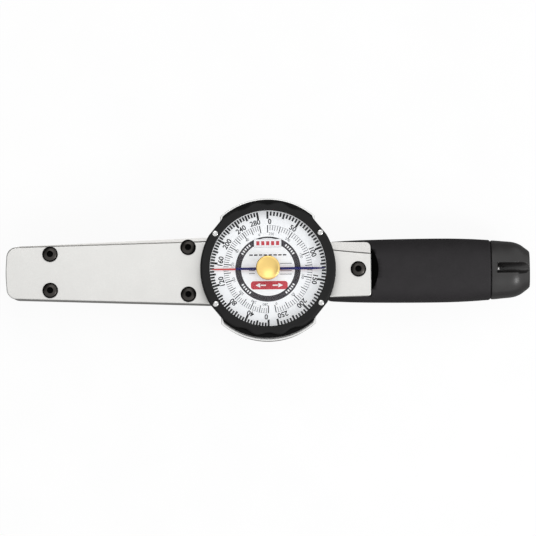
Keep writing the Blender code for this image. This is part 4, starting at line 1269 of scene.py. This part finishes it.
def build_drive():
    """The hub with its chamfered square, and the detent ball."""
    half = SQUARE / 2
    hub_r = 8.0 * MM
    low, high = box("drive_head")
    profile = [(0, high.z), (hub_r, high.z)]
    profile += in_mm((8, 8.6), (8.8, 8.5), (8.8, 7.6), (8, 7.55), (8, 0), (0, 0))
    head = lathe("drive_hub", profile, HUB_SPOT, TURNED_STEEL, 96, 0.2 * MM)
    square = soften(block("square", (-half, -half, low.z), (half, half, MM)), 0.7 * MM)
    cut(head, [square], "UNION")
    ball = middle("detent_ball")
    tools = [
        block("beam_way", *in_mm((1, -2.05, 9), (12, 2.05, 20))),
        peg(1.8 * MM, 0, 5.8 * MM, (-5.0 * MM, 0, ball.z), axis="X"),
    ]
    for side in (-1, 1):
        tools.append(peg(1.3 * MM, 9 * MM, 20 * MM, (-3.5 * MM, side * 4.5 * MM, 0), 32))
    carve(head, tools, "drive_head", "drive_head")
    low, high = box("detent_ball")
    radius = (high.z - low.z) / 2
    turns = [pi * k / 24 for k in range(1, 24)]
    profile = [(0.0, radius)] + [(radius * sin(t), radius * cos(t)) for t in turns]
    profile.append((0.0, -radius))
    place(
        lathe("steel_ball", profile, tuple(ball), BRIGHT_STEEL, 48),
        "detent_ball", "detent_ball",
    )


def place_bending(piece, node):
    """Bakes a steel spring's mesh in place, lifted into the frame, and hides its CAD node; it rides
    on no body.
    """
    apply_modifiers(smooth(piece))
    piece.data.transform(Matrix.Translation((0, 0, LIFT)))
    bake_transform(piece)
    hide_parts(node)


def build_beam():
    """The spring beam between the drive hub and the anchor block."""
    low, high = box("deflection_beam")
    chamfer = 0.4 * MM
    across = [
        (low.y + chamfer, low.z), (high.y - chamfer, low.z), (high.y, low.z + chamfer),
        (high.y, high.z - chamfer), (high.y - chamfer, high.z), (low.y + chamfer, high.z),
        (low.y, high.z - chamfer), (low.y, low.z + chamfer),
    ]
    sections = [[(x, y, z) for y, z in across] for x in spread(low.x, high.x, 60)]
    beam = loft("spring_beam", sections, GROUND_STEEL)
    place_bending(beam, "deflection_beam")


def build_detent_spring():
    """The coil behind the detent ball."""
    low, high = box("detent_spring")
    height = (low.z + high.z) / 2
    wire_r = 0.18 * MM
    radius = (high.z - low.z) / 2 - wire_r
    turns = 4
    steps = turns * 28
    first = low.x + wire_r
    length = high.x - low.x - 2 * wire_r
    sections = []
    for k in range(steps + 1):
        turn = 2 * pi * turns * k / steps
        ring = []
        for side in range(12):
            across, along = polar(wire_r, 2 * pi * side / 12)
            y, z = polar(radius + across, turn, 0, height)
            ring.append((first + length * k / steps + along, y, z))
        sections.append(ring)
    spring = loft("ball_spring", sections, TURNED_STEEL)
    place_bending(
        spring,
        "detent_spring",
    )


def finish_inner_nodes():
    """Gives each CAD node that stays its own detailed material."""
    finishes = {
        BRONZE: "head_bush thrust_washer staff_bush_lower staff_bush_upper",
        BRASS: "hairspring_stud indicator_hub hairspring_collet memory_spindle",
        GROUND_STEEL: "anchor_block handle_core indicator_arm",
        TURNED_STEEL: "handle_dowel_1 handle_dowel_2 arm_screw_1 arm_screw_2 base_screw_1 "
                      "base_screw_2 base_screw_3 pinion_staff ring_clip friction_washer hairspring",
        BLACK_OXIDE: "anchor_bolt_1 anchor_bolt_2",
    }
    for material, names in finishes.items():
        for name in names.split():
            nodes[name].data.materials.clear()
            nodes[name].data.materials.append(material)


# ---- floor, light, camera

def grey(value):
    """A neutral colour."""
    return (value, value, value)


def build_stage():
    """A pale floor under the wrench."""
    work = bmesh.new()
    bmesh.ops.create_grid(work, x_segments=1, y_segments=1, size=3.0)
    made, shader, tree = new_material("pale_floor")
    mottle = remap(tree, noise(tree, 40 * MM, 2.0), 0.0, 1.0)
    seen = add_node(tree, "LightPath").outputs["Is Camera Ray"]
    around = mix_color(tree, mottle, grey(0.22), grey(0.24))
    pale = mix_color(tree, mottle, grey(0.075), grey(0.085))
    wire(tree, shader, {
        "Base Color": mix_color(tree, seen, around, pale),
        "Emission Color": (1, 1, 1, 1),
        "Emission Strength": remap(tree, seen, 0.0, 0.91, 0.0, 1.0),
        "Roughness": 0.9,
        "Specular IOR Level": 0.1,
    })
    floor = link("floor", mesh_from("floor", work), made)
    floor.location = (DIAL_X, 0, cad_box[0][2] - 0.3 * MM)


def area_light(name, spot, aim, size, power):
    """A soft square lamp that looks at a point."""
    lamp = bpy.data.lights.new(name, "AREA")
    lamp.shape = "SQUARE"
    lamp.size = size
    lamp.energy = power
    made = add_object(name, lamp)
    made.location = spot
    direction = Vector(aim) - Vector(spot)
    made.rotation_euler = direction.to_track_quat("-Z", "Y").to_euler()
    made.visible_camera = False


def build_light():
    """A pale surround that is dark low behind the tip, and two soft lamps."""
    world = bpy.data.worlds.new("studio")
    world.use_nodes = True
    tree = world.node_tree
    direction = add_node(tree, "TexCoord").outputs["Generated"]
    toward_dark = {0: direction, 1: (-0.7, 0.714, 0.0)}
    along = add_node(tree, "VectorMath", toward_dark, "DOT_PRODUCT").outputs["Value"]
    wire(tree, tree.nodes["Background"], {
        "Color": (1.0, 1.0, 1.0, 1.0), "Strength": remap(tree, along, 0.96, 0.03, 0.3, 0.7),
    })
    bpy.context.scene.world = world
    area_light("key", (0.07, 0.3, 0.54), (0.1, 0, 0.03), 0.3, 0.5)
    area_light("side_fill", (0.6, -0.26, 0.44), (0.24, 0, 0.03), 0.14, 1.2)


def build_camera():
    """The camera, almost straight above the dial and a little towards -Y."""
    tilt = radians(6.0)
    roll = radians(0.65)
    distance = 2.2
    view_width = 271.8 * MM
    camera = bpy.data.cameras.new("camera")
    camera.sensor_width = 36.0
    camera.lens = camera.sensor_width * distance / view_width
    camera.clip_start = 0.1
    made = add_object("camera", camera)
    target = Vector((DIAL_X, 0.55 * MM, DIAL_TOP + LIFT))
    made.location = target + Vector((0, -sin(tilt), cos(tilt))) * distance
    upright = Matrix.Rotation(tilt, 4, "X")
    made.rotation_euler = (upright @ Matrix.Rotation(-roll, 4, "Z")).to_euler()
    bpy.context.scene.camera = made
    bpy.context.scene.view_settings.view_transform = "Standard"


build_case()
build_cover()
build_cover_screws()
build_dial_base()
build_zero_ring()
build_bezel()
build_crystal()
build_dial()
build_dial_middle()
build_needles()
build_knob()
build_grip()
build_end_cap()
build_drive()
build_beam()
build_detent_spring()
finish_inner_nodes()
build_stage()
build_light()
build_camera()
